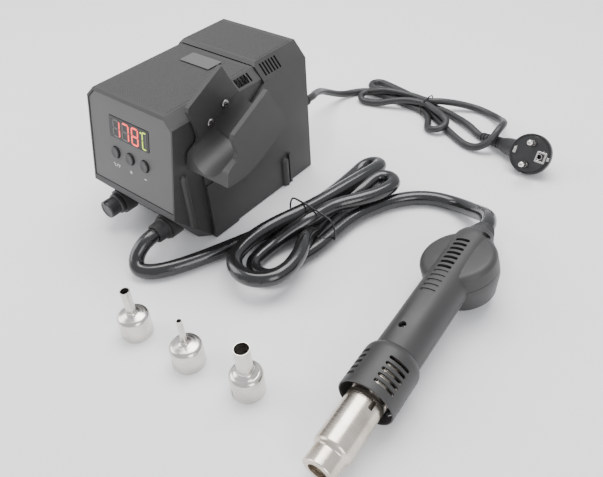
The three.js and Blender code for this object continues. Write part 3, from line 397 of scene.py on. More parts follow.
def soften(piece, width, segments=2, angle=30):
    modify(piece, "BEVEL", width=width * MM, segments=segments, limit_method="ANGLE",
           angle_limit=math.radians(angle), use_clamp_overlap=True, miter_outer="MITER_ARC")
    bpy.ops.object.shade_smooth_by_angle(angle=math.radians(35))
    modify(piece, "WEIGHTED_NORMAL", keep_sharp=True, weight=100)
    return piece


def settle(piece, name, slot, body, *nodes):
    """Names a finished piece, gives it its finish and its body, and hides what it stands for."""
    piece.name = name
    piece.data.materials.clear()
    piece.data.materials.append(MATERIALS[slot])
    if body:
        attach(piece, body)
    if nodes:
        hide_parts(*nodes)
    return piece


def cad_copy(node_name):
    """A merged copy of a CAD node's own solid, its flat faces made whole."""
    source = frame["nodes"][node_name]
    copy = bpy.data.objects.new(node_name + "_copy", source.data.copy())
    bpy.context.scene.collection.objects.link(copy)
    pick(copy)
    bpy.ops.object.mode_set(mode="EDIT")
    bpy.ops.mesh.select_all(action="SELECT")
    bpy.ops.mesh.remove_doubles(threshold=0.00001)
    bpy.ops.mesh.dissolve_limited(angle_limit=math.radians(1.5))
    bpy.ops.object.mode_set(mode="OBJECT")
    if copy.data.has_custom_normals:
        bpy.ops.mesh.customdata_custom_splitnormals_clear()
    return copy


def body_of(node_name):
    return frame["nodes"][node_name]["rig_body"]


def slot_of(node_name):
    return next(row["material_slot"] for row in frame["record"]["subparts"]
                if row["node"] == node_name)


def softened_copy(node_name, width, angle=30, segments=2):
    """A CAD solid with its edges rounded over."""
    copy = soften(cad_copy(node_name), width, segments, angle)
    return settle(copy, node_name + "_finished", slot_of(node_name), body_of(node_name), node_name)


# ---------------------------------------------------------------- cords
# routes in the bench unit's frame, in millimetres, in order from the unit
HOSE_D = 12
HOSE_LEAD = [(28, -74, 20), (28, -80, 20), (28, -86, 20), (28, -88, 20), (28, -98, 18),
             (29, -107, 12), (35, -112, 7.2), (44, -108, 6.2), (52, -99, 6.2), (59, -87, 6.2),
             (66, -72, 6.2), (72.5, -56, 6.2), (78.5, -40, 6.2)]
HOSE_TAIL = [(133.5, 40, 6.2), (138, 53, 6.2), (144.5, 67.5, 6.2), (153.8, 80, 6.2), (165, 89, 6.2),
             (176, 93.5, 6.3), (187, 95, 6.8), (198, 93, 9.2), (208, 88.5, 13), (217, 82.5, 18.3),
             (224.5, 75.5, 23.8), (230, 67.5, 28)]
LEAD_D = 6.8
MAINS_LEAD = [(30, 74, 50), (30, 89, 50), (30, 103, 50), (30, 106, 50), (29, 112, 49),
              (22, 124, 44), (13, 141, 36), (5, 157, 27), (2, 172, 18), (1.5, 187, 9.5),
              (3, 198, 5), (7.5, 208, 3.7), (14.5, 215.5, 3.7)]


def fold(x, y, radius, start, sweep, z0, z1, steps=6):
    """A strand's turn at the end of a bundle: an arc about (x, y), from one height to another."""
    points = []
    for i in range(steps + 1):
        share = i / steps
        angle = math.radians(start + sweep * share)
        points.append((x + radius * math.cos(angle), y + radius * math.sin(angle),
                       z0 + (z1 - z0) * share))
    return points


def hose_bundle():
    low, top = 6.2, 18.2
    return [(83.5, -25, low), (88.5, -8, low), (93, 9, low), (96, 26, low), (97.5, 50, low),
            (97.5, 74, low), *fold(107.1, 91, 9.6, 180, -180, 7, 17),
            (115.5, 76, top), (112, 55, top), (106.5, 26, 17.7), (102, 4, top), (95.5, -18, top),
            (92, -38, top), *fold(114, -56, 21.5, 180, 180, top, top),
            (133, -38, top), (127.5, -26, 17.8), (121, -13, 13.2), (117, 2, 7.4), (113, 25, low),
            (116, 44, 8), (121, 60, 13), *fold(132, 74, 9.5, 180, -180, 15.5, top),
            (138.5, 59, top), (130, 43, top), (118.5, 25, 17.7), (113.5, 2, 17.8), (107, -14, 13.2),
            (101.5, -30, 8), *fold(113, -48.5, 12.9, 180, 180, low, low),
            (127, -30, low), (130, -12, low), (130.5, 6, low), (131, 24, low)]


def mains_bundle():
    low, top = 3.7, 10.4
    return [(24, 219.6, low), (43, 220, low), (66, 217, low), (88, 213.5, low), (100, 204, low),
            *fold(114, 196, 9, 230, 200, low, top, 7),
            (103, 212, top), (88, 217.3, top), (70, 214, top), (56, 208.5, 8), (42, 202, 4.5),
            *fold(27, 206, 7.6, 270, -180, low, 8.2), (38, 218, top), (52, 222.5, top),
            (70, 224.6, top), (88, 224.4, top), (100, 231, top), (115, 241, 7.4), (132, 247, 4.5),
            (149, 243.5, 4.6), (162, 234, 8), (170, 222, 14), (174.5, 210, 19.2),
            (175.5, 198, 19.6), (173, 188, 12.5), (165, 182.5, 6), (154, 182.5, 3.9),
            (143, 187, low), (131, 193.5, low), (119, 201, low), (105, 210.5, low),
            (88, 220.6, low), (66, 224.2, low), (44, 227.6, low),
            *fold(20, 235.2, 7.6, 270, -180, low, low), (46, 238.4, low), (70, 232.6, low),
            (88, 227.8, low), (104, 226.5, low), (120, 221.5, 4.2), (138, 213.6, 5.2)]


def smooth_run(points, spacing):
    """Points a small distance apart along a centripetal curve through the given points."""
    knots = [Vector(point) for point in points]
    knots = [knots[0] * 2 - knots[1], *knots, knots[-1] * 2 - knots[-2]]
    run = []
    for a, b, c, d in zip(knots, knots[1:], knots[2:], knots[3:]):
        t1 = (b - a).length ** 0.5
        t2 = t1 + (c - b).length ** 0.5
        t3 = t2 + (d - c).length ** 0.5
        steps = max(1, round((c - b).length / spacing))
        for i in range(steps):
            t = t1 + (t2 - t1) * i / steps
            a1 = a * ((t1 - t) / t1) + b * (t / t1)
            a2 = b * ((t2 - t) / (t2 - t1)) + c * ((t - t1) / (t2 - t1))
            a3 = c * ((t3 - t) / (t3 - t2)) + d * ((t - t2) / (t3 - t2))
            b1 = a1 * ((t2 - t) / t2) + a2 * (t / t2)
            b2 = a2 * ((t3 - t) / (t3 - t1)) + a3 * ((t - t1) / (t3 - t1))
            run.append(b1 * ((t2 - t) / (t2 - t1)) + b2 * ((t - t1) / (t2 - t1)))
    run.append(knots[-2])
    return run


def relax(run, passes):
    """Eases the small kinks out of a run, its two ends held."""
    for _ in range(passes):
        run = [run[0], *((a + b * 2 + c) / 4 for a, b, c in zip(run, run[1:], run[2:])), run[-1]]
    return run


def tube(name, run, radius, sides):
    """A round tube along a run of points in metres, as a mesh with closed ends."""
    curve = bpy.data.curves.new(name, "CURVE")
    curve.dimensions = "3D"
    curve.bevel_depth = radius
    curve.bevel_resolution = sides // 4 - 1
    curve.use_fill_caps = True
    spline = curve.splines.new("POLY")
    spline.points.add(len(run) - 1)
    for point, place in zip(spline.points, run):
        point.co = (*place, 1)
    made = bpy.data.objects.new(name, curve)
    bpy.context.scene.collection.objects.link(made)
    pick(made)
    bpy.ops.object.convert(target="MESH")
    made = bpy.context.object
    bpy.ops.object.mode_set(mode="EDIT")
    bpy.ops.mesh.select_all(action="SELECT")
    bpy.ops.mesh.remove_doubles(threshold=0.000001)
    bpy.ops.mesh.normals_make_consistent(inside=False)
    bpy.ops.object.mode_set(mode="OBJECT")
    bpy.ops.object.shade_smooth_by_angle(angle=math.radians(50))
    return made


def make_hose():
    cuff = [on_handset(0, y, 0) for y in (58, 51, 44)]
    run = [at(*point) for point in [*HOSE_LEAD, *hose_bundle(), *HOSE_TAIL]] + cuff
    run = relax(smooth_run(run, 2.5 * MM), 3)
    hose = tube("hose", run, HOSE_D / 2 * MM, 24)
    settle(hose, "hose", "hose", None, "hose_lead", "hose_bundle", "hose_tail")
    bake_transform(hose)


def make_mains_lead():
    run = [at(*point) for point in [*MAINS_LEAD, *mains_bundle()]]
    run += [UNIT + plug_point(NECK_REACH + reach) for reach in (27, 16, 4)]
    run = relax(smooth_run(run, 1.6 * MM), 3)
    lead = tube("mains_lead_whole", run, LEAD_D / 2 * MM, 16)
    settle(lead, "mains_lead_whole", "lead", "station", "mains_lead", "mains_bundle")


# ---------------------------------------------------------------- turned and cut pieces
def ring_run(name, rings, sides=64, closed=False):
    """A solid turned about Y: each ring is (radius, y) in millimetres, from one end to the other."""
    mesh = bpy.data.meshes.new(name)
    work = bmesh.new()
    loops = []
    for radius, y in rings:
        if radius < 0.01:
            loops.append([work.verts.new((0, y * MM, 0))])
            continue
        loops.append([work.verts.new((radius * MM * math.cos(2 * math.pi * i / sides), y * MM,
                                      radius * MM * math.sin(2 * math.pi * i / sides)))
                      for i in range(sides)])
    pairs = list(zip(loops, loops[1:]))
    if closed:
        pairs.append((loops[-1], loops[0]))
    for low, high in pairs:
        for i in range(sides):
            j = (i + 1) % sides
            if len(low) == 1:
                work.faces.new((low[0], high[i], high[j]))
            elif len(high) == 1:
                work.faces.new((low[i], high[0], low[j]))
            else:
                work.faces.new((low[i], high[i], high[j], low[j]))
    bmesh.ops.recalc_face_normals(work, faces=work.faces)
    work.to_mesh(mesh)
    work.free()
    made = bpy.data.objects.new(name, mesh)
    bpy.context.scene.collection.objects.link(made)
    pick(made)
    bpy.ops.object.shade_smooth_by_angle(angle=math.radians(32))
    return made


def arc_rings(radius, y, fillet, start, sweep, steps=5):
    """Rings of a rounded edge: its fillet's middle at (radius, y)."""
    return [(radius + fillet * math.cos(math.radians(start + sweep * i / steps)),
             y + fillet * math.sin(math.radians(start + sweep * i / steps)))
            for i in range(steps + 1)]


def place(piece, matrix):
    """Puts a piece made about its own origin where it belongs, its place in its mesh."""
    piece.data.transform(matrix)
    piece.data.update()
    return piece


def frame_at(origin, x_axis, y_axis, z_axis):
    made = Matrix((x_axis, y_axis, z_axis)).transposed().to_4x4()
    made.translation = origin
    return made


STATION = Matrix.Translation(UNIT)
ON_PANEL = STATION @ Matrix.Translation(Vector((0, *CHIN)) * MM) @ Matrix.Rotation(-LEAN, 4, "X")


def slab(name, outline, axis, low, high):
    """An outline in millimetres pulled along one axis; its two coordinates are the other two axes."""
    mesh = bpy.data.meshes.new(name)
    work = bmesh.new()
    order = {"X": lambda a, b, c: (c, a, b), "Y": lambda a, b, c: (a, c, b),
             "Z": lambda a, b, c: (a, b, c)}[axis]
    ends = [[work.verts.new(Vector(order(a, b, level)) * MM) for a, b in outline]
            for level in (low, high)]
    for i in range(len(outline)):
        j = (i + 1) % len(outline)
        work.faces.new((ends[0][i], ends[0][j], ends[1][j], ends[1][i]))
    work.faces.new(ends[0])
    work.faces.new(ends[1])
    bmesh.ops.recalc_face_normals(work, faces=work.faces)
    work.to_mesh(mesh)
    work.free()
    made = bpy.data.objects.new(name, mesh)
    bpy.context.scene.collection.objects.link(made)
    return made


def rounded(width, height, radius, x=0, y=0, steps=5):
    points = []
    for sx, sy, start in ((1, 1, 0), (-1, 1, 90), (-1, -1, 180), (1, -1, 270)):
        for i in range(steps + 1):
            angle = math.radians(start + 90 * i / steps)
            points.append((x + sx * (width / 2 - radius) + radius * math.cos(angle),
                           y + sy * (height / 2 - radius) + radius * math.sin(angle)))
    return points


def merge(name, pieces):
    """One piece from several."""
    deselect()
    for piece in pieces:
        piece.select_set(True)
    bpy.context.view_layer.objects.active = pieces[0]
    bpy.ops.object.join()
    pieces[0].name = name
    return pieces[0]


def carve(piece, *cutters):
    """Cuts the cutters out of a piece."""
    for cutter in cutters:
        modify(piece, "BOOLEAN", operation="DIFFERENCE", object=cutter, solver="EXACT")
        bpy.data.objects.remove(cutter)
    return piece


def keep_within(piece, tool):
    modify(piece, "BOOLEAN", operation="INTERSECT", object=tool, solver="EXACT")
    bpy.data.objects.remove(tool)
    return piece


def fuse(piece, *others):
    for other in others:
        modify(piece, "BOOLEAN", operation="UNION", object=other, solver="EXACT")
        bpy.data.objects.remove(other)
    return piece


def repeat(make, places):
    """Pieces made at several places, joined into one."""
    made = [make(*spot) for spot in places]
    return merge(made[0].name, made)


# ---------------------------------------------------------------- casing
FRONT_HALF = 48.5
ROOF_HALF = 39.7
ROOF_Z = 116
REAR_ROOF_Z = 118.8
JOINT_Y = 28
RIB_PITCH = 1.95


def roof_ribs(name, y0, y1, half, z, skip=None):
    """Fine ribs across a roof, parted round a plate."""
    pieces = []
    count = int((y1 - y0) / RIB_PITCH)
    for i in range(count):
        y = y0 + (i + 0.5) * RIB_PITCH
        spans = [(-half, half)]
        if skip and skip[2] - 0.6 < y < skip[3] + 0.6:
            spans = [(-half, skip[0] - 0.8), (skip[1] + 0.8, half)]
        for x0, x1 in spans:
            section = [(y - 0.62, z - 0.05), (y + 0.62, z - 0.05), (y + 0.34, z + 0.32),
                       (y - 0.34, z + 0.32)]
            pieces.append(slab(name, section, "X", x0, x1))
    return place(merge(name, pieces), STATION)


def side_rib(side):
    """The half-round rib down the side wall behind the control panel, its top rounded off."""
    rings = [(0, 21), (2.2, 21.3), (3.0, 22.4), (3.0, 68), *arc_rings(0, 68, 3.0, 0, 90, 6)]
    bar = ring_run("side_rib", rings, 40)
    bar.data.transform(Matrix.Rotation(math.radians(90), 4, "X"))
    place(bar, Matrix.Translation(Vector((side * FRONT_HALF, -63.5, 0)) * MM))
    low, high = (FRONT_HALF + 0.02, 60) if side > 0 else (-60, -FRONT_HALF - 0.02)
    keep = slab("keep", [(low, -90), (high, -90), (high, -20), (low, -20)], "Z", 0, 120)
    return place(keep_within(bar, keep), STATION)


def make_casing():
    for name, width, angle in (("front_shell", 0.5, 20), ("rear_cover", 0.6, 20),
                               ("base_plate", 0.4, 30), ("front_panel", 0.25, 30),
                               ("roof_plate", 0.3, 30)):
        softened_copy(name, width, angle)
    plate = (-16, 16, JOINT_Y - 23.5, JOINT_Y - 8.5)
    ribs = roof_ribs("front_roof_ribs", -59, JOINT_Y - 2.5, ROOF_HALF - 1.5, ROOF_Z, plate)
    settle(ribs, "front_roof_ribs", "casing", "station")
    ribs = roof_ribs("rear_roof_ribs", JOINT_Y + 6, 76.5, ROOF_HALF - 1.2, REAR_ROOF_Z)
    settle(ribs, "rear_roof_ribs", "casing", "station")
    for side, word in ((1, "right"), (-1, "left")):
        settle(side_rib(side), "side_rib_" + word, "casing", "station")


# ---------------------------------------------------------------- control panel
WINDOW = (-0.4, 54.5, 45.5, 16.7)
BUTTONS = [(-17.6, "button_unit"), (-0.6, "button_up"), (16.4, "button_down")]
BUTTON_UP = 33.6


def segment(x, z, length, thick, upright):
    """One lit bar of a digit, pointed at both ends."""
    a, b = length / 2, thick / 2
    outline = [(-a, 0), (-a + b, b), (a - b, b), (a, 0), (a - b, -b), (-a + b, -b)]
    if upright:
        outline = [(q, p) for p, q in outline]
    return [(x + p, z + q) for p, q in outline]


def digit_outlines(x, z, lit, width=6.8, height=12.8, thick=1.3):
    """The seven bars of a digit that are lit, or dark, in the order a to g."""
    half, side = height / 2, width / 2
    bars = [(0, half, False), (side, half / 2, True), (side, -half / 2, True), (0, -half, False),
            (-side, -half / 2, True), (-side, half / 2, True), (0, 0, False)]
    on, off = [], []
    for i, (dx, dz, upright) in enumerate(bars):
        length = (half if upright else width) - 0.35
        (on if lit[i] else off).append(segment(x + dx, z + dz, length, thick, upright))
    return on, off


def make_panel():
    for x, name in BUTTONS:
        rings = [(0, 3.0), (5.7, 3.0), (5.7, 2.6), (4.5, 2.4), (4.5, -0.85),
                 *arc_rings(4.05, -0.85, 0.45, 0, -90, 4), (3.2, -1.3), (2.2, -1.18), (0, -1.12)]
        key = place(ring_run(name, rings, 48), ON_PANEL @ Matrix.Translation(
            Vector((x, 0, BUTTON_UP)) * MM))
        stem = slab("stem", rounded(3, 3, 1.4, x, BUTTON_UP), "Y", 2.8, 7.2)
        key = merge(name, [key, place(stem, ON_PANEL)])
        settle(key, name + "_cap", slot_of(name), name, name)
    x, up, width, height = WINDOW
    lens = slab("lens", rounded(width, height, 1.5, x, up), "Y", 0.3, 2.0)
    soften(place(lens, ON_PANEL), 0.25, 2)
    settle(lens, "display_lens", "window", "station", "display_window")
    # the digits lie just proud of the smoked window, and the unit sign beside them
    shapes = {"digits": [], "unit_sign": [], "dim_segments": []}
    centre = up - 0.6
    for x, lit in ((-14.8, (0, 1, 1, 0, 0, 0, 0)), (-4.2, (1, 1, 1, 0, 0, 0, 0)),
                   (6.7, (1, 1, 1, 1, 1, 1, 1))):
        on, off = digit_outlines(x, centre, lit)
        shapes["digits"] += on
        shapes["dim_segments"] += off
    on, off = digit_outlines(17.4, centre, (1, 0, 0, 1, 1, 1, 0), width=4.0, thick=0.9)
    shapes["unit_sign"] += on
    shapes["dim_segments"] += off
    shapes["unit_sign"].append(rounded(1.3, 1.3, 0.6, 13.6, centre + 5.6, 3))
    for name, slot in (("digits", "digits"), ("unit_sign", "unit_sign"), ("dim_segments", "display")):
        marks = merge(name, [slab(name, outline, "Y", 0.14, 0.32) for outline in shapes[name]])
        settle(place(marks, ON_PANEL), "display_" + name, slot, "station")
    make_labels()


def ring_shape(radius, thick, x, z, start=0, sweep=360, steps=20):
    """A ring or an open arc as one outline."""
    full = sweep == 360
    angles = [math.radians(start + sweep * i / steps) for i in range(steps + 1)]
    outer = [(x + radius * math.cos(a), z + radius * math.sin(a)) for a in angles]
    inner = [(x + (radius - thick) * math.cos(a), z + (radius - thick) * math.sin(a)) for a in angles]
    if full:
        return [[outer[i], outer[i + 1], inner[i + 1], inner[i]] for i in range(steps)]
    return [outer + inner[::-1]]


def stroke(x0, z0, x1, z1, thick=0.42):
    run = Vector((x1 - x0, z1 - z0)).normalized()
    side = Vector((-run.y, run.x)) * thick / 2
    return [(x0 + side.x, z0 + side.y), (x1 + side.x, z1 + side.y), (x1 - side.x, z1 - side.y),
            (x0 - side.x, z0 - side.y)]


def make_labels():
    """Printed signs under the buttons: degrees C or F, plus and minus, and a small ring mark."""
    left, middle, right = (x for x, _ in BUTTONS)
    up = BUTTON_UP - 11.0
    marks = [*ring_shape(0.5, 0.26, left - 3.6, up + 1.0, steps=12),
             *ring_shape(1.15, 0.4, left - 1.9, up, 50, 260, 12),
             stroke(left - 0.5, up - 1.3, left + 0.6, up + 1.4, 0.34),
             *ring_shape(0.5, 0.26, left + 1.5, up + 1.0, steps=12),
             stroke(left + 2.5, up - 1.2, left + 2.5, up + 1.2, 0.4),
             stroke(left + 2.3, up + 1.05, left + 4.1, up + 1.05, 0.36),
             stroke(left + 2.3, up + 0.05, left + 3.7, up + 0.05, 0.36),
             stroke(middle - 1.5, up, middle + 1.5, up, 0.6),
             stroke(middle, up - 1.5, middle, up + 1.5, 0.6),
             stroke(right - 1.4, up, right + 1.4, up, 0.6)]
    labels = merge("labels", [slab("labels", mark, "Y", 0.42, 0.54) for mark in marks])
    settle(place(labels, ON_PANEL), "panel_labels", "print", "station")


# ---------------------------------------------------------------- knob and hose gland
SOCKET_X = 28
SOCKET_Z = 20


def make_knob_and_gland():
    rings = [(0, -88.6), (5.4, -88.6), (5.9, -89), *arc_rings(6.7, -88.1, 0.9, 270, 90, 4),
             (7.62, -87), (7.6, -80.2), (7.7, -79.4), (8.8, -78.6), (8.8, -76.4), (8.5, -76.0),
             (3.4, -76), (3.4, -84), (0, -84)]
    knob = ring_run("knob", rings, 72)
    notch = slab("notch", [(-0.7, 4.2), (0.7, 4.2), (0.7, 10), (-0.7, 10)], "Y", -92, -85.5)
    flutes = []
    for i in range(24):
        angle = 2 * math.pi * (i + 0.5) / 24
        x, z = 8.05 * math.cos(angle), 8.05 * math.sin(angle)
        flutes.append(slab("flute", rounded(1.2, 1.2, 0.58, x, z, 3), "Y", -87.2, -80.6))
    knob = carve(knob, notch, merge("flutes", flutes))
    pick(knob)
    bpy.ops.object.shade_smooth_by_angle(angle=math.radians(35))
    place(knob, STATION @ Matrix.Translation(Vector((-SOCKET_X, 0, SOCKET_Z)) * MM))
    settle(knob, "airflow_knob_turned", slot_of("airflow_knob"), "airflow_knob", "airflow_knob")

    rings = [(6.3, -86), *arc_rings(7.0, -85.3, 0.7, 250, 110, 4), (7.75, -84), (8.0, -78.4),
             (8.2, -77.8), *arc_rings(8.9, -77.1, 0.6, 270, 90, 3), (9.5, -75.4), (6.0, -75.3),
             (6.0, -67), (4.6, -67), (4.6, -79), (6.3, -79)]
    gland = ring_run("gland", rings, 64, closed=True)
    place(gland, STATION @ Matrix.Translation(Vector((SOCKET_X, 0, SOCKET_Z)) * MM))
    settle(gland, "hose_gland_moulded", "rubber", "station", "hose_gland")


# ---------------------------------------------------------------- handset
GRIP_R = 15.5
HEAD_R = 26.5
HEAD_TOP = 11
HEAD_BOTTOM = -23
PARTING = -2


def handset_form(inward):
    """The grip with the round blower head on it, moved inwards by a distance."""
    r = GRIP_R - inward
    front = -77 if not inward else -83
    grip = ring_run("grip", [(0, front), (r, front), (r, 32), (r - 0.4, 35.5), (r - 1.6, 38.6),
                             (r - 3.6, 41), (r - 6, 42.4), (0, 42.8)] if not inward else
                    [(0, front), (r, front), (r, 31), (0, 32)], 88)
    low, high, edge = HEAD_BOTTOM + inward, HEAD_TOP - inward, HEAD_R - inward
    rings = [(0, low), (18.5, low), *arc_rings(18.5, low + 4.2, 4.2, 270, 50, 5),
             (edge - 0.3, PARTING - 5), (edge, PARTING + 0.5), *arc_rings(edge - 5.2, high - 5.2, 5.2, 8, 82, 7),
             (edge - 9, high + 0.5), (0, high + 1.1 - inward)]
    head = ring_run("head", rings, 104)
    head.data.transform(Matrix.Rotation(math.radians(90), 4, "X"))
    place(head, Matrix.Translation(Vector((0, 12, 0)) * MM))
    return grip, head


def make_handset():
    grip, head = handset_form(0)
    shell = fuse(grip, head)
    tail = ring_run("tail", [(0, 22), (12.4, 28), (11.6, 38), (10.4, 44.6), (9.8, 46.6), (9.4, 47), (0, 47)], 64)
    shell = fuse(shell, tail)
    # the shell hollowed out inside, and bored at the back where the hose comes in
    for inner in handset_form(2.2):
        carve(shell, inner)
    bore = ring_run("bore", [(0, 24), (8.3, 24), (8.3, 60), (0, 60)], 48)
    carve(shell, bore)
    upper = bpy.data.objects.new("upper", shell.data.copy())
    bpy.context.scene.collection.objects.link(upper)
    big = [(-60, -120), (60, -120), (60, 120), (-60, 120)]
    keep_within(upper, slab("keep", big, "Z", PARTING + 0.15, 90))
    keep_within(shell, slab("keep", big, "Z", -90, PARTING - 0.15))
    # seven open vents along the spine, then shallow blind ones towards the front
    slots = [slab("slot", rounded(10.2, 2.5, 1.1, 0, -5.95 + 4.7 * i, 4), "Z", 9, 24) for i in range(7)]
    carve(upper, merge("slots", slots))
    blind = []
    for i in range(5):
        groove = ring_run("groove", [(0, -1.1), (16.4, -1.1), (16.4, 1.1), (0, 1.1)], 88)
        place(groove, Matrix.Translation(Vector((0, -10.7 - 4.7 * i, 0)) * MM))
        keep_within(groove, slab("keep", [(-5.1, -60), (5.1, -60), (5.1, 60), (-5.1, 60)], "Z", 12, 30))
        inner = ring_run("inner", [(0, -3), (14.8, -3), (14.8, 3), (0, 3)], 88)
        place(inner, Matrix.Translation(Vector((0, -10.7 - 4.7 * i, 0)) * MM))
        blind.append(carve(groove, inner))
    carve(upper, merge("blind", blind))
    for x, y in ((0, -62.2), (10, 36.5)):
        carve(upper, place(ring_run("well", [(0, 0), (2.6, 0), (2.6, 40), (0, 40)], 40),
                           Matrix.Translation(Vector((x, y, 1.4)) * MM) @ Matrix.Rotation(math.radians(90), 4, "X")))
    for piece, name, node_name in ((upper, "handset_upper_cover", "handset_upper_shell"),
                                   (shell, "handset_lower_cover", "handset_lower_shell")):
        soften(piece, 0.3, 2, 38)
        settle(place(piece, HAND), name, "casing", "handset", node_name)


def make_guard_and_barrel():
    rings = [(12.45, -80.9), (12.45, -79.1), (14.6, -77.3), (15.8, -77.3), (17.2, -78.8), (18.2, -80.9),
             (18.6, -83.2), (18.6, -111.7), *arc_rings(18.0, -112.7, 0.6, 0, -180, 4), (17.1, -111.3),
             (17.1, -82.6), (16.4, -81.2)]
    guard = ring_run("guard", rings, 120, closed=True)
    cutters = []
    for i in range(5):
        for quarter in (45, 135, 225, 315):
            cutter = slab("cutter", rounded(14.6, 2.3, 1.1, 0, -106.3 + 4.45 * i, 4), "Z", 8, 24)
            cutter.data.transform(Matrix.Rotation(math.radians(quarter), 4, "Y"))
            cutters.append(cutter)
    carve(guard, merge("cutters", cutters))
    carve(guard, slab("cutter", rounded(4, 5, 0.8, 0, -112.4, 3), "Z", -24, -10))
    soften(guard, 0.22, 2, 40)
    settle(place(guard, HAND), "nozzle_guard_moulded", "casing", "handset", "nozzle_guard")

    rings = [(6.2, -162.4), (9.4, -162.4), (9.95, -162.1), (10.2, -161.5), (10.2, -151.2),
             (10.3, -150.6), (10.6, -150.1), (11.3, -149.4), (11.85, -148.5), (12.1, -147.2),
             (12.1, -69), (11.3, -69), (11.3, -147.5), (9.4, -149.8), (9.4, -159.6), (6.2, -159.6)]
    barrel = ring_run("barrel", rings, 112, closed=True)
    keyway = slab("keyway", rounded(3.2, 6, 0.9, 0, -117, 4), "Z", 9, 15)
    keyway.data.transform(Matrix.Rotation(math.radians(53), 4, "Y"))
    carve(barrel, keyway)
    soften(barrel, 0.12, 1, 40)
    settle(place(barrel, HAND), "heater_barrel_drawn", slot_of("heater_barrel"), "handset",
           "heater_barrel")

    rings = [(6.3, 43), (8, 43), (8, 47.3), (8.6, 47.5), (8.7, 49.6), (8.3, 50.2), (7.9, 51.2),
             (8.0, 52), (7.4, 52.6), (7.3, 53.7), (6.9, 54), (6.3, 54)]
    cuff = ring_run("cuff", rings, 64, closed=True)
    settle(place(cuff, HAND), "hose_cuff_moulded", slot_of("hose_cuff"), "handset", "hose_cuff")


# ---------------------------------------------------------------- nozzles
NOZZLES = {"nozzle_medium": (77.4, -149.1, 3.4), "nozzle_small": (126.2, -145.4, 2.1),
           "nozzle_large": (172.8, -138, 5.3)}


def make_nozzles():
    for name, (x, y, tube_r) in NOZZLES.items():
        base = 11.1
        rings = [(base - 0.1, 0), (base, 0.3), (base, 1.5), (base - 0.1, 1.7), (base, 1.9), (base, 14.6),
                 *arc_rings(base - 3.6, 14.8, 3.6, 0, 78, 7), (tube_r + 2.2, 19.2),
                 (tube_r + 1.0, 19.7), (tube_r + 0.3, 20.5), (tube_r, 21.6), (tube_r, 40.1),
                 (tube_r - 0.12, 40.3), (tube_r - 0.5, 40.3), (tube_r - 0.6, 40.1), (tube_r - 0.6, 21),
                 (tube_r + 0.3, 19.2), (base - 3.6, 17.7), (base - 1.6, 16.6), (base - 0.6, 14),
                 (base - 0.6, 0.2), (base - 0.5, 0)]
        made = ring_run(name, rings, 88, closed=True)
        made.data.transform(Matrix.Rotation(math.radians(90), 4, "X"))
        for vertex in made.data.vertices:
            vertex.co.z = abs(vertex.co.z)
        slot_cut = slab("split", rounded(1.5, 9, 0.7, 0, 3.4, 4), "Y", -14, -6)
        slot_cut.data.transform(Matrix.Rotation(math.radians(-20), 4, "Z"))
        carve(made, slot_cut)
        soften(made, 0.1, 1, 45)
        place(made, STATION @ Matrix.Translation(Vector((x, y, 0)) * MM))
        settle(made, name + "_turned", slot_of(name), name, name)


# ---------------------------------------------------------------- mains plug
PLUG_FACE = Vector((214.4, 178.3, 19.2))
PLUG_NORMAL = Vector((0.05, -0.85, 0.52)).normalized()
PLUG_NECK = Vector((-0.937, 0.3, -0.18)).normalized()
PLUG_ACROSS = (PLUG_NECK - PLUG_NORMAL * PLUG_NECK.dot(PLUG_NORMAL)).normalized()
PLUG_UP = PLUG_NORMAL.cross(PLUG_ACROSS)
# y runs out of the plug's face, z towards the neck
ON_PLUG = STATION @ frame_at(PLUG_FACE * MM, PLUG_UP, PLUG_NORMAL, PLUG_ACROSS)
PLUG_BACK = 8.6
NECK_REACH = 33


def plug_point(reach):
    return (PLUG_FACE - PLUG_NORMAL * PLUG_BACK + PLUG_NECK * reach) * MM


def along(start, end):
    """Turns a piece made along +Y so that it runs from one point to another."""
    run = (end - start).normalized()
    side = run.orthogonal().normalized()
    return STATION @ frame_at(start, side, run, side.cross(run))


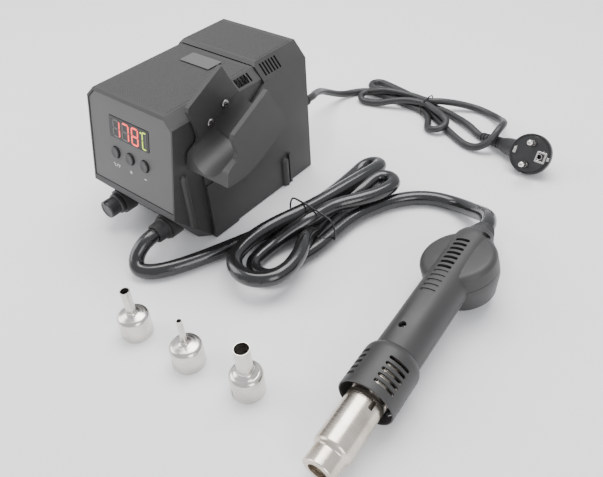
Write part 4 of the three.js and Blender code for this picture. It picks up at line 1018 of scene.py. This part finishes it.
def make_plug():
    rings = [(0, -16), (10.5, -15.9), (12.5, -15.2), (15.7, -8.6), (16.3, -7.2), (17.3, -6.6),
             (17.7, -6), (17.7, -1), *arc_rings(17.1, -0.6, 0.6, 0, 90, 3), (16.4, 0.0),
             (16.0, -0.5), (15.5, -0.5), (15.1, 0), (0, 0)]
    body = place(ring_run("plug", rings, 96), ON_PLUG)
    neck = ring_run("neck", [(0, 4), (8.6, 4), (8.6, 16), (7.6, 26), (6.4, 31.6), (5.9, NECK_REACH),
                             (0, NECK_REACH)], 48)
    neck.data.transform(Matrix.Scale(1, 4))
    place(neck, along(plug_point(0), plug_point(1)))
    fuse(body, neck)
    cutters = []
    for side in (-1, 1):
        cutters.append(ring_run("hole", [(0, -6), (2.7, -6), (2.7, 1), (0, 1)], 32))
        place(cutters[-1], ON_PLUG @ Matrix.Translation(Vector((side * 9.5, 0, 0)) * MM))
        # the guide grooves at the rim
        cutters.append(place(slab("groove", rounded(3.4, 6.4, 0.8, side * 17.7, 0, 3), "Y", -6.2, 2),
                             ON_PLUG))
    earth = ring_run("hole", [(0, -9), (2.6, -9), (2.6, 1), (0, 1)], 32)
    cutters.append(place(earth, ON_PLUG @ Matrix.Translation(Vector((0, 0, -8)) * MM)))
    carve(body, *cutters)
    soften(body, 0.25, 2, 40)
    settle(body, "plug_moulding", "lead", "station", "plug_body")
    # metal: the earth contact's frame with its sleeve, the clip on the neck side, and the two pins
    frame_piece = slab("earth", rounded(9.6, 8.6, 1.0, 0, -9.4, 4), "Y", 0.02, 0.5)
    carve(frame_piece, slab("hole", rounded(6.4, 5.6, 0.6, 0, -9.2, 4), "Y", -3, 3))
    sleeve = ring_run("sleeve", [(2.5, 0.35), (2.0, 0.35), (2.0, -6), (2.5, -6)], 32, closed=True)
    place(sleeve, Matrix.Translation(Vector((0, 0, -8)) * MM))
    lug = slab("lug", rounded(3.0, 2.0, 0.4, 0, -15.6, 3), "Y", 0.02, 0.9)
    clip = slab("clip", rounded(5.6, 2.4, 0.5, 0, 13.6, 4), "Y", 0.02, 0.45)
    metal = merge("earth", [frame_piece, sleeve, lug, clip])
    soften(metal, 0.12, 1, 40)
    settle(place(metal, ON_PLUG), "plug_earth_contacts", "earth_metal", "station")
    for side, name in ((-1, "plug_pin_1"), (1, "plug_pin_2")):
        pin = ring_run(name, [(0, -5.6), (2.4, -5.6), (2.4, 9.0), (2.28, 9.2), (2.4, 9.4), (2.4, 16.6),
                              *arc_rings(0.2, 16.8, 2.2, 0, 90, 6), (0, 19)], 48)
        place(pin, ON_PLUG @ Matrix.Translation(Vector((side * 9.5, 0, 0)) * MM))
        settle(pin, name + "_round", slot_of(name), "station", name)
    rings = [(3.45, 0.3), (5.6, 0.3)]
    for i in range(6):
        y, r = 1.4 + i * 3.9, 5.5 - 0.22 * i
        rings += [(r, y), (r, y + 2.0), (r - 0.9, y + 2.3), (r - 0.95, y + 3.5)]
    rings += [(4.2, 24.4), (4.0, 25), (3.45, 25)]
    relief = ring_run("relief", rings, 48, closed=True)
    place(relief, along(plug_point(NECK_REACH), plug_point(NECK_REACH + 1)))
    settle(relief, "plug_relief_ribbed", slot_of("plug_strain_relief"), "station",
           "plug_strain_relief")


# ---------------------------------------------------------------- back, feet and small pieces
def make_rear():
    rings = [(3.7, 73), (4.5, 73), (4.5, 79.3), (7.0, 79.3), (7.0, 81.6), (6.4, 82.6), (5.6, 83)]
    for i in range(6):
        y, r = 84.4 + i * 2.9, 5.5 - 0.16 * i
        rings += [(r, y), (r, y + 1.5), (r - 0.75, y + 1.7), (r - 0.8, y + 2.6)]
    rings += [(4.7, 102.4), (4.5, 103), (3.7, 103)]
    relief = ring_run("relief", rings, 48, closed=True)
    place(relief, STATION @ Matrix.Translation(Vector((30, 0, 50)) * MM))
    settle(relief, "mains_relief_ribbed", slot_of("mains_strain_relief"), "station",
           "mains_strain_relief")
    for i in range(1, 5):
        low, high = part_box(f"rubber_foot_{i}")
        rings = [(0, 0), (4.2, 0), (4.6, 0.25), (5.3, 0.25), (5.8, 0.5), (6, 1), (6, 2.7), (0, 2.7)]
        foot = ring_run("foot", rings, 40)
        foot.data.transform(Matrix.Rotation(math.radians(90), 4, "X"))
        for vertex in foot.data.vertices:
            vertex.co.z = abs(vertex.co.z)
        place(foot, Matrix.Translation(((low.x + high.x) / 2, (low.y + high.y) / 2, low.z)))
        settle(foot, f"rubber_foot_{i}_moulded", "rubber", "station", f"rubber_foot_{i}")


def cross_screw(name, radius, length):
    """A pan head with a cross recess, its top at y = 0 and its shank towards +y."""
    rings = [(0, 0), (radius * 0.55, 0.03), (radius * 0.85, 0.3), (radius, 0.9), (radius, 1.3),
             (radius * 0.6, 1.4), (radius * 0.6, length), (0, length)]
    head = ring_run(name, rings, 40)
    for outline in (rounded(radius * 1.15, 0.62, 0.2), rounded(0.62, radius * 1.15, 0.2)):
        carve(head, slab("recess", outline, "Y", -1, 0.9))
    return head


def make_screws():
    for name in ("cradle_screw_1", "cradle_screw_2"):
        low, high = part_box(name)
        middle = (low + high) / 2
        screw = cross_screw(name, 3.1, (high.x - low.x) / MM - 0.1)
        place(screw, frame_at(Vector((high.x, middle.y, middle.z)), Vector((0, 1, 0)),
                              Vector((-1, 0, 0)), Vector((0, 0, 1))))
        settle(screw, name + "_cross", slot_of(name), "station", name)
    for name, (x, y, z) in (("handset_screw_1", (0, -62.2, 13.1)), ("handset_screw_2", (10, 36.5, 7))):
        screw = cross_screw(name, 2.25, 5)
        place(screw, HAND @ Matrix.Translation(Vector((x, y, z)) * MM)
              @ Matrix.Rotation(math.radians(-90), 4, "X"))
        settle(screw, name + "_cross", slot_of(name), "handset", name)


# ---------------------------------------------------------------- ties round the cords
def wire(name, points, radius, body, node_name):
    run = relax(smooth_run([at(*point) for point in points], 0.7 * MM), 2)
    tie = tube(name, run, radius * MM, 12)
    return settle(tie, name, "tie_wire", body, node_name)


def band(x, y, heading, half_width, height, tilt=0.0):
    """Points of a tie that hugs a flat bundle: up one side, over and down the other."""
    across = Vector((-math.sin(heading), math.cos(heading), 0))
    run = Vector((math.cos(heading), math.sin(heading), 0))
    shape = [(-0.86, 0.06), (-1.0, 0.3), (-1.0, 0.62), (-0.86, 0.93), (-0.5, 1.0), (0, 1.01),
             (0.5, 1.0), (0.86, 0.93), (1.0, 0.62), (1.0, 0.3), (0.86, 0.06)]
    return [tuple(Vector((x, y, 0.9)) + across * half_width * a + run * tilt * a
                  + Vector((0, 0, height * b))) for a, b in shape]


def make_ties():
    points = band(111.5, 5, math.radians(86), 25.2, 24.4, 1.5)
    start = points[0]
    loop = [(start[0] - 3, start[1] - 2, 1.4), (start[0] + 0, start[1] - 1.5, 0.9)]
    end = points[-1]
    wire("hose_tie_wire", points, 0.75, "station", "hose_tie")
    points = band(88, 221, math.radians(4), 11.4, 13.6, 1.0)
    wire("mains_tie_wire", points, 0.6, "station", "mains_tie")


# ---------------------------------------------------------------- the whole object
look_from()
light_and_floor()
make_hose()
make_casing()
make_panel()
make_knob_and_gland()
softened_copy("cradle", 0.6, 25)
make_handset()
make_guard_and_barrel()
make_nozzles()
make_plug()
make_mains_lead()
make_rear()
make_screws()
make_ties()

for name, cad_node in frame["nodes"].items():
    cad_node.data.materials.clear()
    cad_node.data.materials.append(MATERIALS[slot_of(name)])
